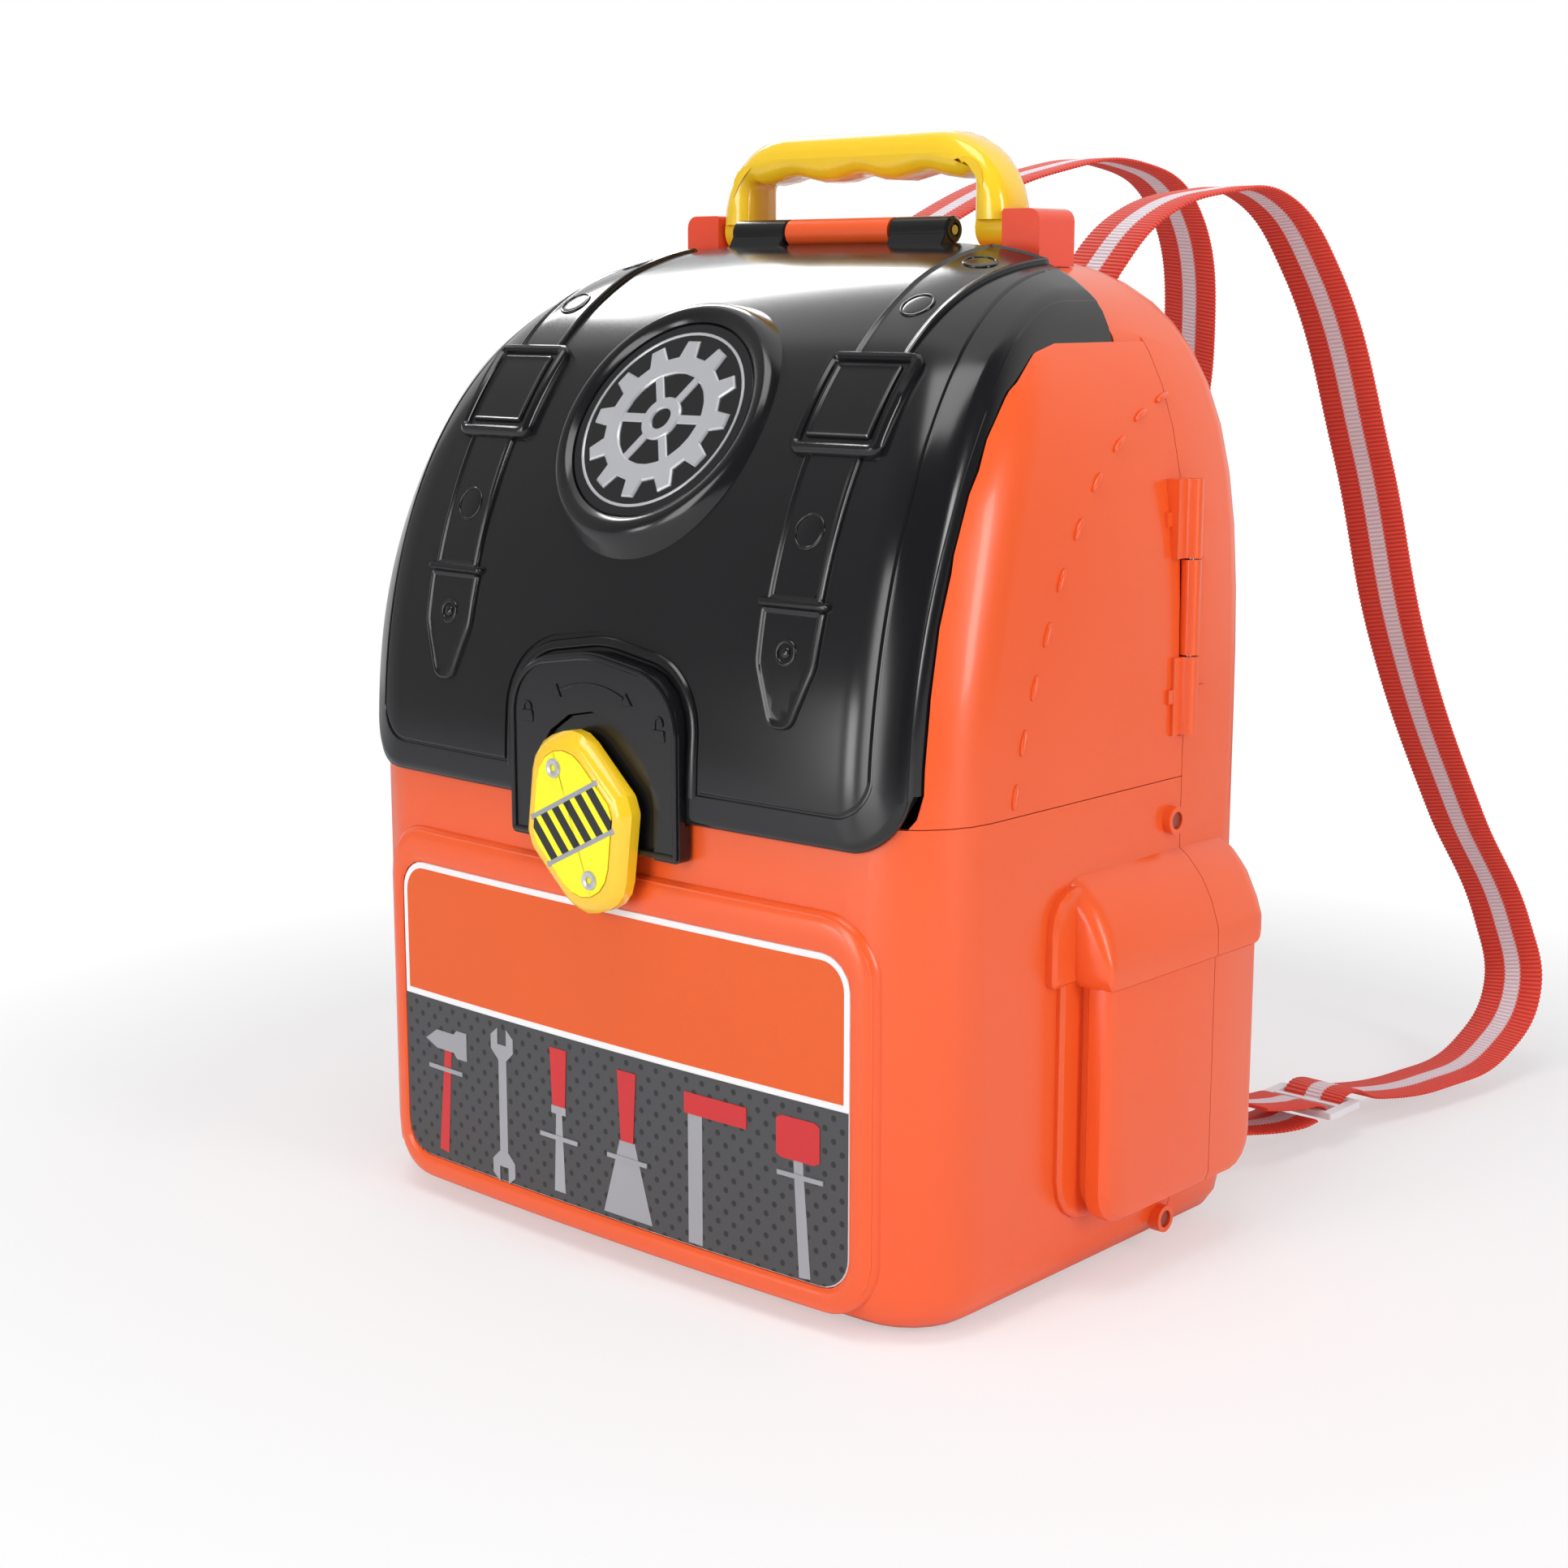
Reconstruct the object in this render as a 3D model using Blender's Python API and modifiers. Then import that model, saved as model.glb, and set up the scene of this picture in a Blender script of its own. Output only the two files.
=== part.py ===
"""Toy tool backpack.

A hollow moulded case stands on its base. A rear shell and a lower front tub are screwed
together, two side doors swing out on upright pins, and a domed lid swings up and forward
in front of the carrying handle. A knob on the tub turns over the lid's two legs to lock it.
Two webbing straps with sliders hang behind the case.

Metres, +Z up. The front faces -Y and the origin is in the middle of the base.
"""
import math

import bmesh
import bpy
from mathutils import Matrix, Vector

# Case
CASE_NAME = "toy_tool_backpack"
CASE_WIDTH = 0.257
CASE_HEIGHT = 0.324
CASE_FRONT = 0.083
CASE_REAR = 0.088
CREST_Y = 0.050
SHOULDER_Z = 0.155
FRONT_RISE_Z = 0.150
SHOULDER_POWER = 4.0
FRONT_POWER = 2.2
FRONT_CROWN = 0.004
FRONT_CORNER = 0.030
REAR_CORNER = 0.012
BASE_RADIUS = 0.016
LEAST_CORNER = 0.003
CORNER_ROOM_SHARE = 0.9
WALL = 0.0025
SEAM_BACK = 0.0005
SEAM_Y = CREST_Y - SEAM_BACK
SEAM_Z = 0.158
DOME = CASE_HEIGHT - SEAM_Z
GAP = 0.0003
OVERRUN = 0.010
CLIMB_SHARES = (0.0, 0.12, 0.24, 0.36, 0.48, 0.58, 0.67, 0.75, 0.81, 0.86, 0.9, 0.935, 0.96, 0.98, 0.99, 0.997)

# Lid
LID_SIDE_INSET = 0.0095
LID_HALF_WIDTH = CASE_WIDTH / 2 - LID_SIDE_INSET
LID_OVERREACH = 0.021
LID_REACH = CASE_HEIGHT + LID_OVERREACH - SHOULDER_Z
LID_LAP = 0.008
LID_LOW_Z = SEAM_Z - LID_LAP
LID_CORNER = 0.018
LID_REAR_BACK = 0.017
LID_REAR_Y = CREST_Y - LID_REAR_BACK
LID_PROUD = 0.003
LID_WALL = 0.0022
LID_RIM_DEPTH = 0.0025
LID_SHOULDER_INSET = 0.0104
LID_SHOULDER_X = LID_HALF_WIDTH - LID_SHOULDER_INSET
LID_SHOULDER_SHARE = 0.47
LID_GAP = 0.0007
LID_SHARES = (0.0, 0.2, 0.4, 0.55, 0.68, 0.78, 0.85, 0.9, 0.94)

# Lid's badge and belts
BADGE_PLACE_SHARE = 0.678
BADGE_SIZE_SHARE = 0.253
BADGE_Z = SEAM_Z + DOME * BADGE_PLACE_SHARE
BADGE_RADIUS = DOME * BADGE_SIZE_SHARE
BADGE_RIM = 0.0065
BADGE_RISE = 0.0025
BADGE_SINK = 0.010
BADGE_RECESS = 0.0015
BADGE_PLATE = 0.0007
BELT_PLACE_SHARE = 0.63
BELT_X = LID_HALF_WIDTH * BELT_PLACE_SHARE
BELT_WIDTH = 0.021
BELT_RISE = 0.0013
BELT_STEP_SHARE = 0.3735
BELT_TIP_SHARE = 0.157
BELT_STEP_Z = SEAM_Z + DOME * BELT_STEP_SHARE
BELT_TIP_Z = SEAM_Z + DOME * BELT_TIP_SHARE
BELT_TIP = 0.012
BELT_WIDER = 0.0015
BUCKLE_WIDTH = 0.035
BUCKLE_LOW_SHARE = 0.6265
BUCKLE_HIGH_SHARE = 0.801
BUCKLE_LOW_Z = SEAM_Z + DOME * BUCKLE_LOW_SHARE
BUCKLE_HIGH_Z = SEAM_Z + DOME * BUCKLE_HIGH_SHARE
BUCKLE_RISE = 0.0026
BUCKLE_CORNER = 0.004
BUCKLE_RIM = 0.0035
BUCKLE_SINK = 0.0009

# Latch: arch block and legs on the lid, plate and knob on the tub
LATCH_DROP = 0.011
LATCH_Z = SEAM_Z - LATCH_DROP
ARCH_HALF_WIDTH = 0.038
ARCH_RISE = 0.0426
ARCH_TOP_Z = SEAM_Z + ARCH_RISE
ARCH_SHOULDER = 0.020
ARCH_CROWN = 0.006
ARCH_LAP = 0.003
ARCH_ROOT = 0.004
ARCH_BACK = CASE_FRONT - ARCH_ROOT
LEG_PROUD = 0.0055
LEG_CLEAR = 0.0008
LEG_FACE = CASE_FRONT + LEG_PROUD
LEG_BACK = CASE_FRONT + LEG_CLEAR
LEG_DROP = 0.020
LEG_LOW_Z = SEAM_Z - LEG_DROP
LEG_CORNER = 0.002
NOTCH_HALF_WIDTH = 0.027
NOTCH_RISE = 0.0075
NOTCH_ROUND_Z = LATCH_Z + NOTCH_RISE
PLATE_GAP = 0.0006
PLATE_THICK = 0.0038
PLATE_FACE = CASE_FRONT + PLATE_THICK
PLATE_LOW_Z = LEG_LOW_Z + PLATE_GAP
PLATE_BOSS_RADIUS = 0.009
KNOB_GAP = 0.0005
KNOB_LONG = 0.029
KNOB_WIDE = 0.0235
KNOB_FLAT = 0.010
KNOB_FLANK = 0.0115
KNOB_CORNER = 0.006
KNOB_SIDE_CORNER_SHARE = 0.7
KNOB_THICK = 0.0085
KNOB_CHAMFER = 0.0035
KNOB_TILT = math.radians(20)
STICKER_INSET = 0.0055
STICKER_THICK = 0.0005
HUB_RADIUS = 0.005
HUB_BORE = 0.0016
HUB_END = 0.0012
WASHER_RADIUS = 0.008
WASHER_THICK = 0.001
SPINDLE_RADIUS = 0.0013
SPINDLE_HEAD_RADIUS = 0.0035
SPINDLE_HEAD = 0.0022

# Lid hinge
HINGE_AHEAD = 0.0015
HINGE_Y = LID_REAR_Y - HINGE_AHEAD
HINGE_RISE = 0.006
HINGE_Z = CASE_HEIGHT + HINGE_RISE
HINGE_RADIUS = 0.0045
HINGE_PIN_RADIUS = 0.0016
HINGE_MIDDLE = 0.0225
HINGE_END = 0.0475
HINGE_SIDE_GAP = 0.0006
HINGE_FOOT = 0.006

# Side hinges
DOOR_AXIS_OUT = 0.0012
DOOR_HINGE_LOW_SHARE = 0.084
DOOR_HINGE_HIGH_SHARE = 0.572
DOOR_HINGE_LOW_Z = SEAM_Z + DOME * DOOR_HINGE_LOW_SHARE
DOOR_HINGE_HIGH_Z = SEAM_Z + DOME * DOOR_HINGE_HIGH_SHARE
DOOR_KNUCKLE = 0.0033
DOOR_PIN_RADIUS = 0.0012
DOOR_OUTER_SHARE = 0.31
DOOR_ARM = 0.008
DOOR_ARM_INNER = 0.0035
LUG_LONG = 0.0105
LUG_HALF_HEIGHT = 0.0022
LUG_OUT = 0.0011

# Handle
HANDLE_AHEAD = 0.004
HANDLE_Y = CREST_Y - HANDLE_AHEAD
HANDLE_PIN_RISE = 0.007
HANDLE_PIN_Z = CASE_HEIGHT + HANDLE_PIN_RISE
HANDLE_HALF_WIDTH = 0.062
HANDLE_RISE = 0.0385
HANDLE_TOP_Z = CASE_HEIGHT + HANDLE_RISE
HANDLE_GRIP = 0.0145
HANDLE_LEG = 0.0125
HANDLE_DEPTH = 0.020
HANDLE_EDGE = 0.0055
HANDLE_SHOULDER_SHARE = 0.92
HANDLE_SHOULDER = (HANDLE_RISE - HANDLE_PIN_RISE - HANDLE_EDGE) * HANDLE_SHOULDER_SHARE
HANDLE_LUG_RADIUS = 0.007
HANDLE_WAVE = 0.0012
HANDLE_WAVE_MARGIN = 0.012
HANDLE_PIN_RADIUS = 0.0022
BRACKET_WIDTH = 0.015
BRACKET_DEPTH = 0.019
BRACKET_RISE = 0.0125
BRACKET_TOP_Z = CASE_HEIGHT + BRACKET_RISE
BRACKET_CORNER = 0.004
BRACKET_GAP = 0.0006
BRACKET_SUNK = 0.020

# Label on the tub
FRAME_INSET = 0.0195
FRAME_HALF_WIDTH = CASE_WIDTH / 2 - FRAME_INSET
FRAME_LOW_Z = 0.0065
FRAME_DROP = 0.028
FRAME_HIGH_Z = SEAM_Z - FRAME_DROP
FRAME_CORNER = 0.018
FRAME_RISE = 0.0022
FRAME_BAND = 0.0075
FRAME_HEAD = 0.0114
LABEL_HALF_WIDTH = FRAME_HALF_WIDTH - FRAME_BAND
LABEL_LOW_Z = FRAME_LOW_Z + FRAME_BAND
LABEL_HIGH_Z = FRAME_HIGH_Z - FRAME_HEAD
LABEL_CORNER = 0.011
LABEL_RECESS = 0.0013
LABEL_THICK = 0.0006

# Side pockets: a flange on the wall, a bellows behind a groove, and a flap with a wing
POCKET_FORE = 0.0575
POCKET_FRONT_Y = SEAM_Y - POCKET_FORE
POCKET_REAR_MARGIN = 0.0115
POCKET_REAR_Y = CASE_REAR - POCKET_REAR_MARGIN
POCKET_LOW_Z = 0.0235
POCKET_OUT = 0.0148
POCKET_SOFT = 0.006
POCKET_CORNER = 0.011
POCKET_ROOT = 0.010
POCKET_GROOVE = 0.002
POCKET_GROOVE_SHARES = ((0.31, 1.0), (0.42, 0.0))
POCKET_SOFT_SHARES = ((0.6, 0.0), (0.2, 0.25), (0.0, 0.8))
FLANGE_FORE = 0.0085
FLANGE_OUT = 0.0026
FLANGE_SOFT = 0.0012
FLANGE_CORNER = 0.016
FLAP_FRONT_Y = POCKET_FRONT_Y - 2 * POCKET_GROOVE
FLAP_REAR_Y = POCKET_REAR_Y + POCKET_GROOVE
FLAP_DROP = 0.0235
FLAP_HEIGHT = 0.035
FLAP_HIGH_Z = SEAM_Z - FLAP_DROP
FLAP_LOW_Z = FLAP_HIGH_Z - FLAP_HEIGHT
POCKET_HIGH_Z = FLAP_LOW_Z + FLAP_HEIGHT / 3
FLAP_OUT = 0.0158
FLAP_SOFT = 0.0035
FLAP_CORNER = 0.007
FLAP_CORNER_SHARE = 0.35
FLAP_SHARES = ((0.0, 0.0, 0.0), (0.22, 0.07, 0.0), (0.4, 0.16, 0.0), (0.57, 0.25, 0.05), (0.8, 0.44, 0.2),
               (0.94, 0.62, 0.5), (1.0, 0.72, 1.0))
WING_FORE = 0.0105
WING_OUT = 0.0036
WING_MARGIN = 0.0025
WING_CORNER = 0.012

# Screws at the side seam
BOSS_AHEAD = 0.006
BOSS_Y = SEAM_Y - BOSS_AHEAD
BOSS_DROP = 0.0135
BOSS_HIGH_Z = SEAM_Z - BOSS_DROP
BOSS_LOW_Z = 0.0105
BOSS_RADIUS = 0.0045
BOSS_OUT = 0.0028
SCREW_RADIUS = 0.0014
SCREW_HEAD_RADIUS = 0.0026
SCREW_HEAD = 0.0016
SCREW_SINK = 0.0008
TAB_THICK = 0.0035
TAB_HALF_HEIGHT = 0.0055
TAB_FRONT = 0.007

# Straps
STRAP_WIDTH = 0.025
STRAP_THICK = 0.0014
STRAP_STEPS = 5
ANCHOR_X = 0.050
ANCHOR_DROP = 0.024
ANCHOR_Z = CASE_HEIGHT - ANCHOR_DROP
LOWER_ANCHOR_INSET = 0.0365
LOWER_ANCHOR_X = CASE_WIDTH / 2 - LOWER_ANCHOR_INSET
LOWER_ANCHOR_Z = 0.022
SLOT_MARGIN = 0.0008
CLIP_WIDTH = 0.031
CLIP_DEPTH = 0.006
CLIP_HEIGHT = 0.008
CLIP_SETBACK = 0.0035
STRAP_TAIL = 0.011
SLIDER_WIDTH = 0.034
SLIDER_BAR = 0.0026
SLIDER_SLOT = 0.0070
SLIDER_THICK = 0.0024
SLIDER_SIDE_GAP = 0.0006
SLIDER_BACK = 0.090
SLIDER_Y = CASE_REAR + SLIDER_BACK
SLIDER_Z = 0.0125
SLOT_BACK = 0.020
LAID_SLOT = (0.050, 0.068, 0.300)
LAID_SLIDER = (0.1045, 0.178, 0.0125)
LOWER_WEAVE_SHARES = (-2.2, -1.3)
WEAVE_SHARES = ((1.0, 1.4), (0.0, -1.4), (-1.0, 1.4), (-2.2, 2.3), (-3.6, 3.5), (-5.0, 5.0))

# Names of the sides, with the direction of each
SIDES = (("left", -1), ("right", 1))
BOSSES = (("lower", BOSS_LOW_Z), ("upper", BOSS_HIGH_Z))

# Facets
ARC_STEPS = 4
ROUND_STEPS = 24
SMALL_STEPS = 12
SMOOTH_ANGLE = math.radians(35)

parts = bpy.data.collections.new(CASE_NAME)
helpers = bpy.data.collections.new("cutters")


def clear_scene():
    """Remove whatever the scene holds."""
    for item in list(bpy.data.objects):
        bpy.data.objects.remove(item)
    bpy.context.scene.collection.children.link(parts)
    bpy.context.scene.collection.children.link(helpers)


def plastic(name, colour, roughness=0.25, metallic=0.0):
    """A plain finish for one kind of piece."""
    finish = bpy.data.materials.new(name)
    finish.use_nodes = True
    shader = finish.node_tree.nodes["Principled BSDF"]
    shader.inputs["Base Color"].default_value = (*colour, 1.0)
    shader.inputs["Roughness"].default_value = roughness
    shader.inputs["Metallic"].default_value = metallic
    return finish


ORANGE = ("orange_shell", (0.90, 0.11, 0.02))
RED = ("red_orange_fitting", (0.80, 0.06, 0.02))
BLACK = ("black_gloss", (0.012, 0.012, 0.014))
YELLOW = ("yellow_handle", (0.93, 0.55, 0.02))
STEEL = ("plated_steel", (0.55, 0.55, 0.56), 0.3, 1.0)
PRINT = ("printed_label", (0.85, 0.24, 0.02))
WHITE = ("white_slider", (0.85, 0.84, 0.86))
WEBBING = ("strap_webbing", (0.85, 0.12, 0.04), 0.75)
finishes = {}


def finish_of(values):
    """The material with these values, made once."""
    if values[0] not in finishes:
        finishes[values[0]] = plastic(*values)
    return finishes[values[0]]


def add_solid(name, shape, values=None):
    """Link a mesh as a part when it has a finish, and as a hidden helper when it has none."""
    bmesh.ops.recalc_face_normals(shape, faces=shape.faces)
    mesh = bpy.data.meshes.new(name)
    shape.to_mesh(mesh)
    shape.free()
    mesh.shade_smooth()
    mesh.set_sharp_from_angle(angle=SMOOTH_ANGLE)
    item = bpy.data.objects.new(name, mesh)
    if values:
        mesh.materials.append(finish_of(values))
        parts.objects.link(item)
    else:
        item.hide_render = True
        item.display_type = "WIRE"
        helpers.objects.link(item)
    return item


def combine(target, tool, operation, solver="EXACT"):
    """Join, cut or keep the target with a helper."""
    step = target.modifiers.new(tool.name, "BOOLEAN")
    step.operation = operation
    step.solver = solver
    step.object = tool


def join(target, *tools):
    for tool in tools:
        combine(target, tool, "UNION")


def cut(target, *tools):
    for tool in tools:
        combine(target, tool, "DIFFERENCE")


def keep(target, tool, solver="EXACT"):
    combine(target, tool, "INTERSECT", solver)


def loft(name, rings, values=None):
    """A closed solid through rings of as many points each, with flat ends."""
    shape = bmesh.new()
    layers = [[shape.verts.new(point) for point in ring] for ring in rings]
    for lower, upper in zip(layers, layers[1:]):
        for index, corner in enumerate(lower):
            following = (index + 1) % len(lower)
            shape.faces.new((corner, lower[following], upper[following], upper[index]))
    shape.faces.new(layers[0])
    shape.faces.new(layers[-1])
    return add_solid(name, shape, values)


def in_front(u, v, depth):
    return Vector((u, depth, v))


def in_side(u, v, depth):
    return Vector((depth, u, v))


def in_plan(u, v, depth):
    return Vector((u, v, depth))


def slab(name, outline, low, high, place, values=None):
    """A flat outline given its thickness from low to high, across the plane that place names."""
    shape = bmesh.new()
    face = shape.faces.new([shape.verts.new(place(u, v, low)) for u, v in outline])
    grown = bmesh.ops.extrude_face_region(shape, geom=[face])["geom"]
    moved = [item for item in grown if isinstance(item, bmesh.types.BMVert)]
    bmesh.ops.translate(shape, verts=moved, vec=place(0.0, 0.0, high) - place(0.0, 0.0, low))
    return add_solid(name, shape, values)


def block(name, low, high, values=None):
    """A box between two opposite corners."""
    shape = bmesh.new()
    low, high = Vector(low), Vector(high)
    size = Matrix.Diagonal((*(high - low), 1.0))
    bmesh.ops.create_cube(shape, size=1.0, matrix=Matrix.Translation((low + high) / 2) @ size)
    return add_solid(name, shape, values)


def rod(name, radius, start, finish, steps=ROUND_STEPS, values=None):
    """A cylinder between two points."""
    shape = bmesh.new()
    start, finish = Vector(start), Vector(finish)
    turn = (finish - start).to_track_quat("Z", "Y").to_matrix().to_4x4()
    bmesh.ops.create_cone(
        shape, cap_ends=True, segments=steps, radius1=radius, radius2=radius,
        depth=(finish - start).length, matrix=Matrix.Translation((start + finish) / 2) @ turn)
    return add_solid(name, shape, values)


def turned(name, profile, foot, along, values=None):
    """A profile of (radius, height) points, top first, turned about its foot's axis."""
    mesh = bpy.data.meshes.new(name)
    points = [(radius, 0.0, height) for radius, height in profile]
    edges = [(index, index + 1) for index in range(len(points) - 1)]
    mesh.from_pydata(points, edges, [])
    mesh.materials.append(finish_of(values))
    item = bpy.data.objects.new(name, mesh)
    item.location = foot
    item.rotation_euler = Vector(along).to_track_quat("Z", "Y").to_euler()
    spin = item.modifiers.new("turn", "SCREW")
    spin.steps = SMALL_STEPS
    spin.render_steps = SMALL_STEPS
    spin.use_merge_vertices = True
    spin.merge_threshold = GAP / 10
    parts.objects.link(item)
    return item


def fillet(corners, steps=ARC_STEPS):
    """A closed outline whose (u, v, radius) corners are rounded."""
    outline = []
    for index, (u, v, radius) in enumerate(corners):
        corner = Vector((u, v))
        back = (Vector(corners[index - 1][:2]) - corner).normalized()
        ahead = (Vector(corners[(index + 1) % len(corners)][:2]) - corner).normalized()
        if radius <= 0.0:
            outline.append(corner)
            continue
        half = back.angle(ahead) / 2
        centre = corner + (back + ahead).normalized() * radius / math.sin(half)
        start = (corner + back * radius / math.tan(half) - centre).normalized()
        finish = (corner + ahead * radius / math.tan(half) - centre).normalized()
        outline += [centre + start.slerp(finish, step / steps) * radius for step in range(steps + 1)]
    return outline


def rounded_box(low_u, high_u, low_v, high_v, radius, steps=ARC_STEPS):
    """A rectangle with round corners."""
    return fillet([(low_u, low_v, radius), (high_u, low_v, radius),
                   (high_u, high_v, radius), (low_u, high_v, radius)], steps)


def mirrored(outline):
    """The same outline on the other side of the middle plane."""
    return [Vector((-u, v)) for u, v in reversed(outline)]


# The case's surface

def kept_share(height, start, top, power):
    """The share of its full reach that a wall keeps at a height: 1 at start and 0 at the top."""
    climb = min(max(height - start, 0.0) / (top - start), 1.0)
    return (1.0 - climb ** power) ** (1.0 / power)


def case_reach(height, inset):
    """Half width, front and rear of the case at a height, moved in by inset."""
    top = CASE_HEIGHT - inset
    side = kept_share(height, SHOULDER_Z, top, SHOULDER_POWER)
    lean = kept_share(height, FRONT_RISE_Z, top, FRONT_POWER)
    half_width = (CASE_WIDTH / 2 - inset) * side
    front = CREST_Y - (CREST_Y + CASE_FRONT - inset) * lean
    rear = CREST_Y + (CASE_REAR - CREST_Y - inset) * side
    return half_width, front, rear


def case_ring(height, inset, tuck):
    """One level of the case in plan, from the middle of its front and round to the left."""
    half_width, front, rear = case_reach(height, inset)
    half_width, front, rear = half_width - tuck, front + tuck, rear - tuck
    room = min(half_width, (rear - front) / 2)
    fore = min(max(FRONT_CORNER - inset - tuck, LEAST_CORNER), room * CORNER_ROOM_SHARE)
    aft = min(max(REAR_CORNER - inset - tuck, LEAST_CORNER), room * CORNER_ROOM_SHARE)
    half = []
    for step in range(ARC_STEPS):
        across = (half_width - fore) * step / ARC_STEPS
        half.append((across, front + FRONT_CROWN * (across / half_width) ** 2))
    fore_y = front + FRONT_CROWN * (1.0 - fore / half_width) ** 2 + fore
    for step in range(ARC_STEPS + 3):
        angle = math.pi / 2 * step / (ARC_STEPS + 2)
        half.append((half_width - fore + fore * math.sin(angle), fore_y - fore * math.cos(angle)))
    for step in range(ARC_STEPS + 1):
        angle = math.pi / 2 * step / ARC_STEPS
        half.append((half_width - aft + aft * math.cos(angle), rear - aft + aft * math.sin(angle)))
    half.append((half_width / 2 - aft / 2, rear))
    ring = half + [(0.0, rear)] + [(-x, y) for x, y in reversed(half[1:])]
    return [(x, y, height) for x, y in ring]


def case_solid(name, inset, values=None):
    """The whole case as a solid, moved in by inset, or out where inset is below zero."""
    top = CASE_HEIGHT - inset
    radius = BASE_RADIUS - inset
    rings = []
    for step in range(ARC_STEPS):
        angle = math.pi / 2 * step / ARC_STEPS
        rings.append(case_ring(inset + radius * (1.0 - math.cos(angle)), inset,
                               radius * (1.0 - math.sin(angle))))
    rings.append(case_ring(inset + radius, inset, 0.0))
    for share in CLIMB_SHARES:
        rings.append(case_ring(SHOULDER_Z + (top - SHOULDER_Z) * share, inset, 0.0))
    return loft(name, rings, values)


def lid_half_width(height):
    """How far the lid's edge stands from the middle plane at a height."""
    return LID_HALF_WIDTH * kept_share(height, SHOULDER_Z, SHOULDER_Z + LID_REACH, SHOULDER_POWER)


def lid_outline(grow):
    """The lid seen from the front, with its edge moved out by grow."""
    low = LID_LOW_Z - grow
    right = [(LID_HALF_WIDTH + grow, low, LID_CORNER + grow)]
    for share in LID_SHARES[1:]:
        height = SHOULDER_Z + LID_REACH * share
        right.append((lid_half_width(height) + grow, height, 0.0))
    left = [(-u, v, radius) for u, v, radius in reversed(right)]
    return fillet(right + left)


def front_band(name, outline, outer, inner, values=None):
    """The layer of the case between two insets, where the front view's outline covers it."""
    band = case_solid(name, outer, values)
    keep(band, slab(name + "_outline", outline, -CASE_FRONT - 3 * OVERRUN, HINGE_Y, in_front))
    cut(band, case_solid(name + "_inner", inner))
    return band


def pocket_rings(side, inset):
    """Rings of a side pocket's bellows, from the case's wall outwards, with a groove at its foot."""
    wall = CASE_WIDTH / 2
    full = POCKET_OUT - inset
    levels = [(-POCKET_ROOT, POCKET_GROOVE)]
    levels += [(full * share, POCKET_GROOVE * groove) for share, groove in POCKET_GROOVE_SHARES]
    levels += [(full - POCKET_SOFT * back, POCKET_SOFT * drawn) for back, drawn in POCKET_SOFT_SHARES]
    rings = []
    for out, drawn in levels:
        drawn += inset
        outline = rounded_box(POCKET_FRONT_Y + drawn, POCKET_REAR_Y - drawn, POCKET_LOW_Z + drawn,
                              POCKET_HIGH_Z - inset, POCKET_CORNER - inset)
        rings.append([in_side(u, v, side * (wall + out)) for u, v in outline])
    return rings


def flap_rings(side, inset):
    """Rings of the pocket's flap, whose top slopes from the wall down to its face."""
    wall = CASE_WIDTH / 2
    rings = []
    levels = [(-POCKET_ROOT, 0.0, 0.0)]
    levels += [((FLAP_OUT - inset) * out, FLAP_HEIGHT * drop, FLAP_SOFT * soft) for out, drop, soft in FLAP_SHARES]
    for out, drop, soft in levels:
        drawn = inset + soft
        low, high = FLAP_LOW_Z + inset + soft / 2, FLAP_HIGH_Z - inset - drop
        corner = min(FLAP_CORNER, (high - low) * FLAP_CORNER_SHARE)
        outline = rounded_box(FLAP_FRONT_Y + drawn, FLAP_REAR_Y - drawn, low, high, corner)
        rings.append([in_side(u, v, side * (wall + out)) for u, v in outline])
    return rings


def wall_plate(name, side, outlines, out):
    """A low plate on the case's side wall, from its foot's outline to its face's smaller one."""
    wall = CASE_WIDTH / 2
    foot, face = outlines
    rings = []
    for level, outline in ((-POCKET_ROOT, foot), (out - FLANGE_SOFT, foot), (out, face)):
        rings.append([in_side(u, v, side * (wall + level)) for u, v in outline])
    return loft(name, rings)


def flange_outline(drawn):
    """The pocket's flange seen from the side."""
    front, rear = POCKET_FRONT_Y - FLANGE_FORE + drawn, POCKET_REAR_Y + POCKET_GROOVE / 2 - drawn
    low, high = POCKET_LOW_Z - GAP + drawn, (POCKET_HIGH_Z + FLAP_LOW_Z) / 2
    return fillet([(front, low, FLANGE_CORNER - drawn), (rear, low, POCKET_CORNER - drawn),
                   (rear, high, 0.0), (front, high, 0.0)])


def wing_outline(drawn):
    """The wing in front of the pocket's flap seen from the side."""
    front = FLAP_FRONT_Y - WING_FORE + drawn
    low, high = FLAP_LOW_Z + WING_MARGIN + drawn, FLAP_HIGH_Z - WING_MARGIN - drawn
    return fillet([(front, low, WING_MARGIN), (0.0, low, 0.0), (0.0, high, 0.0), (front, high, WING_CORNER - drawn)])


def pocket_plates(name, side):
    """The pocket's flange, and the wing in front of its flap."""
    plates = ((flange_outline, "flange", FLANGE_OUT), (wing_outline, "wing", WING_OUT))
    return [wall_plate(f"{name}_{label}", side, (outline(0.0), outline(FLANGE_SOFT)), out)
            for outline, label, out in plates]


def case_shell(name, region):
    """The hollow case with its pockets, kept only inside a region."""
    shell = case_solid(name, 0.0, ORANGE)
    for label, side in SIDES:
        join(shell, *pocket_plates(f"{name}_{label}", side))
        join(shell, loft(f"{name}_pocket_{label}", pocket_rings(side, 0.0)))
        join(shell, loft(f"{name}_flap_{label}", flap_rings(side, 0.0)))
    cut(shell, case_solid(name + "_inside", WALL))
    for label, side in SIDES:
        cut(shell, loft(f"{name}_pocket_inside_{label}", pocket_rings(side, WALL)))
        cut(shell, loft(f"{name}_flap_inside_{label}", flap_rings(side, WALL)))
    keep(shell, region, "MANIFOLD")
    return shell


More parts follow.
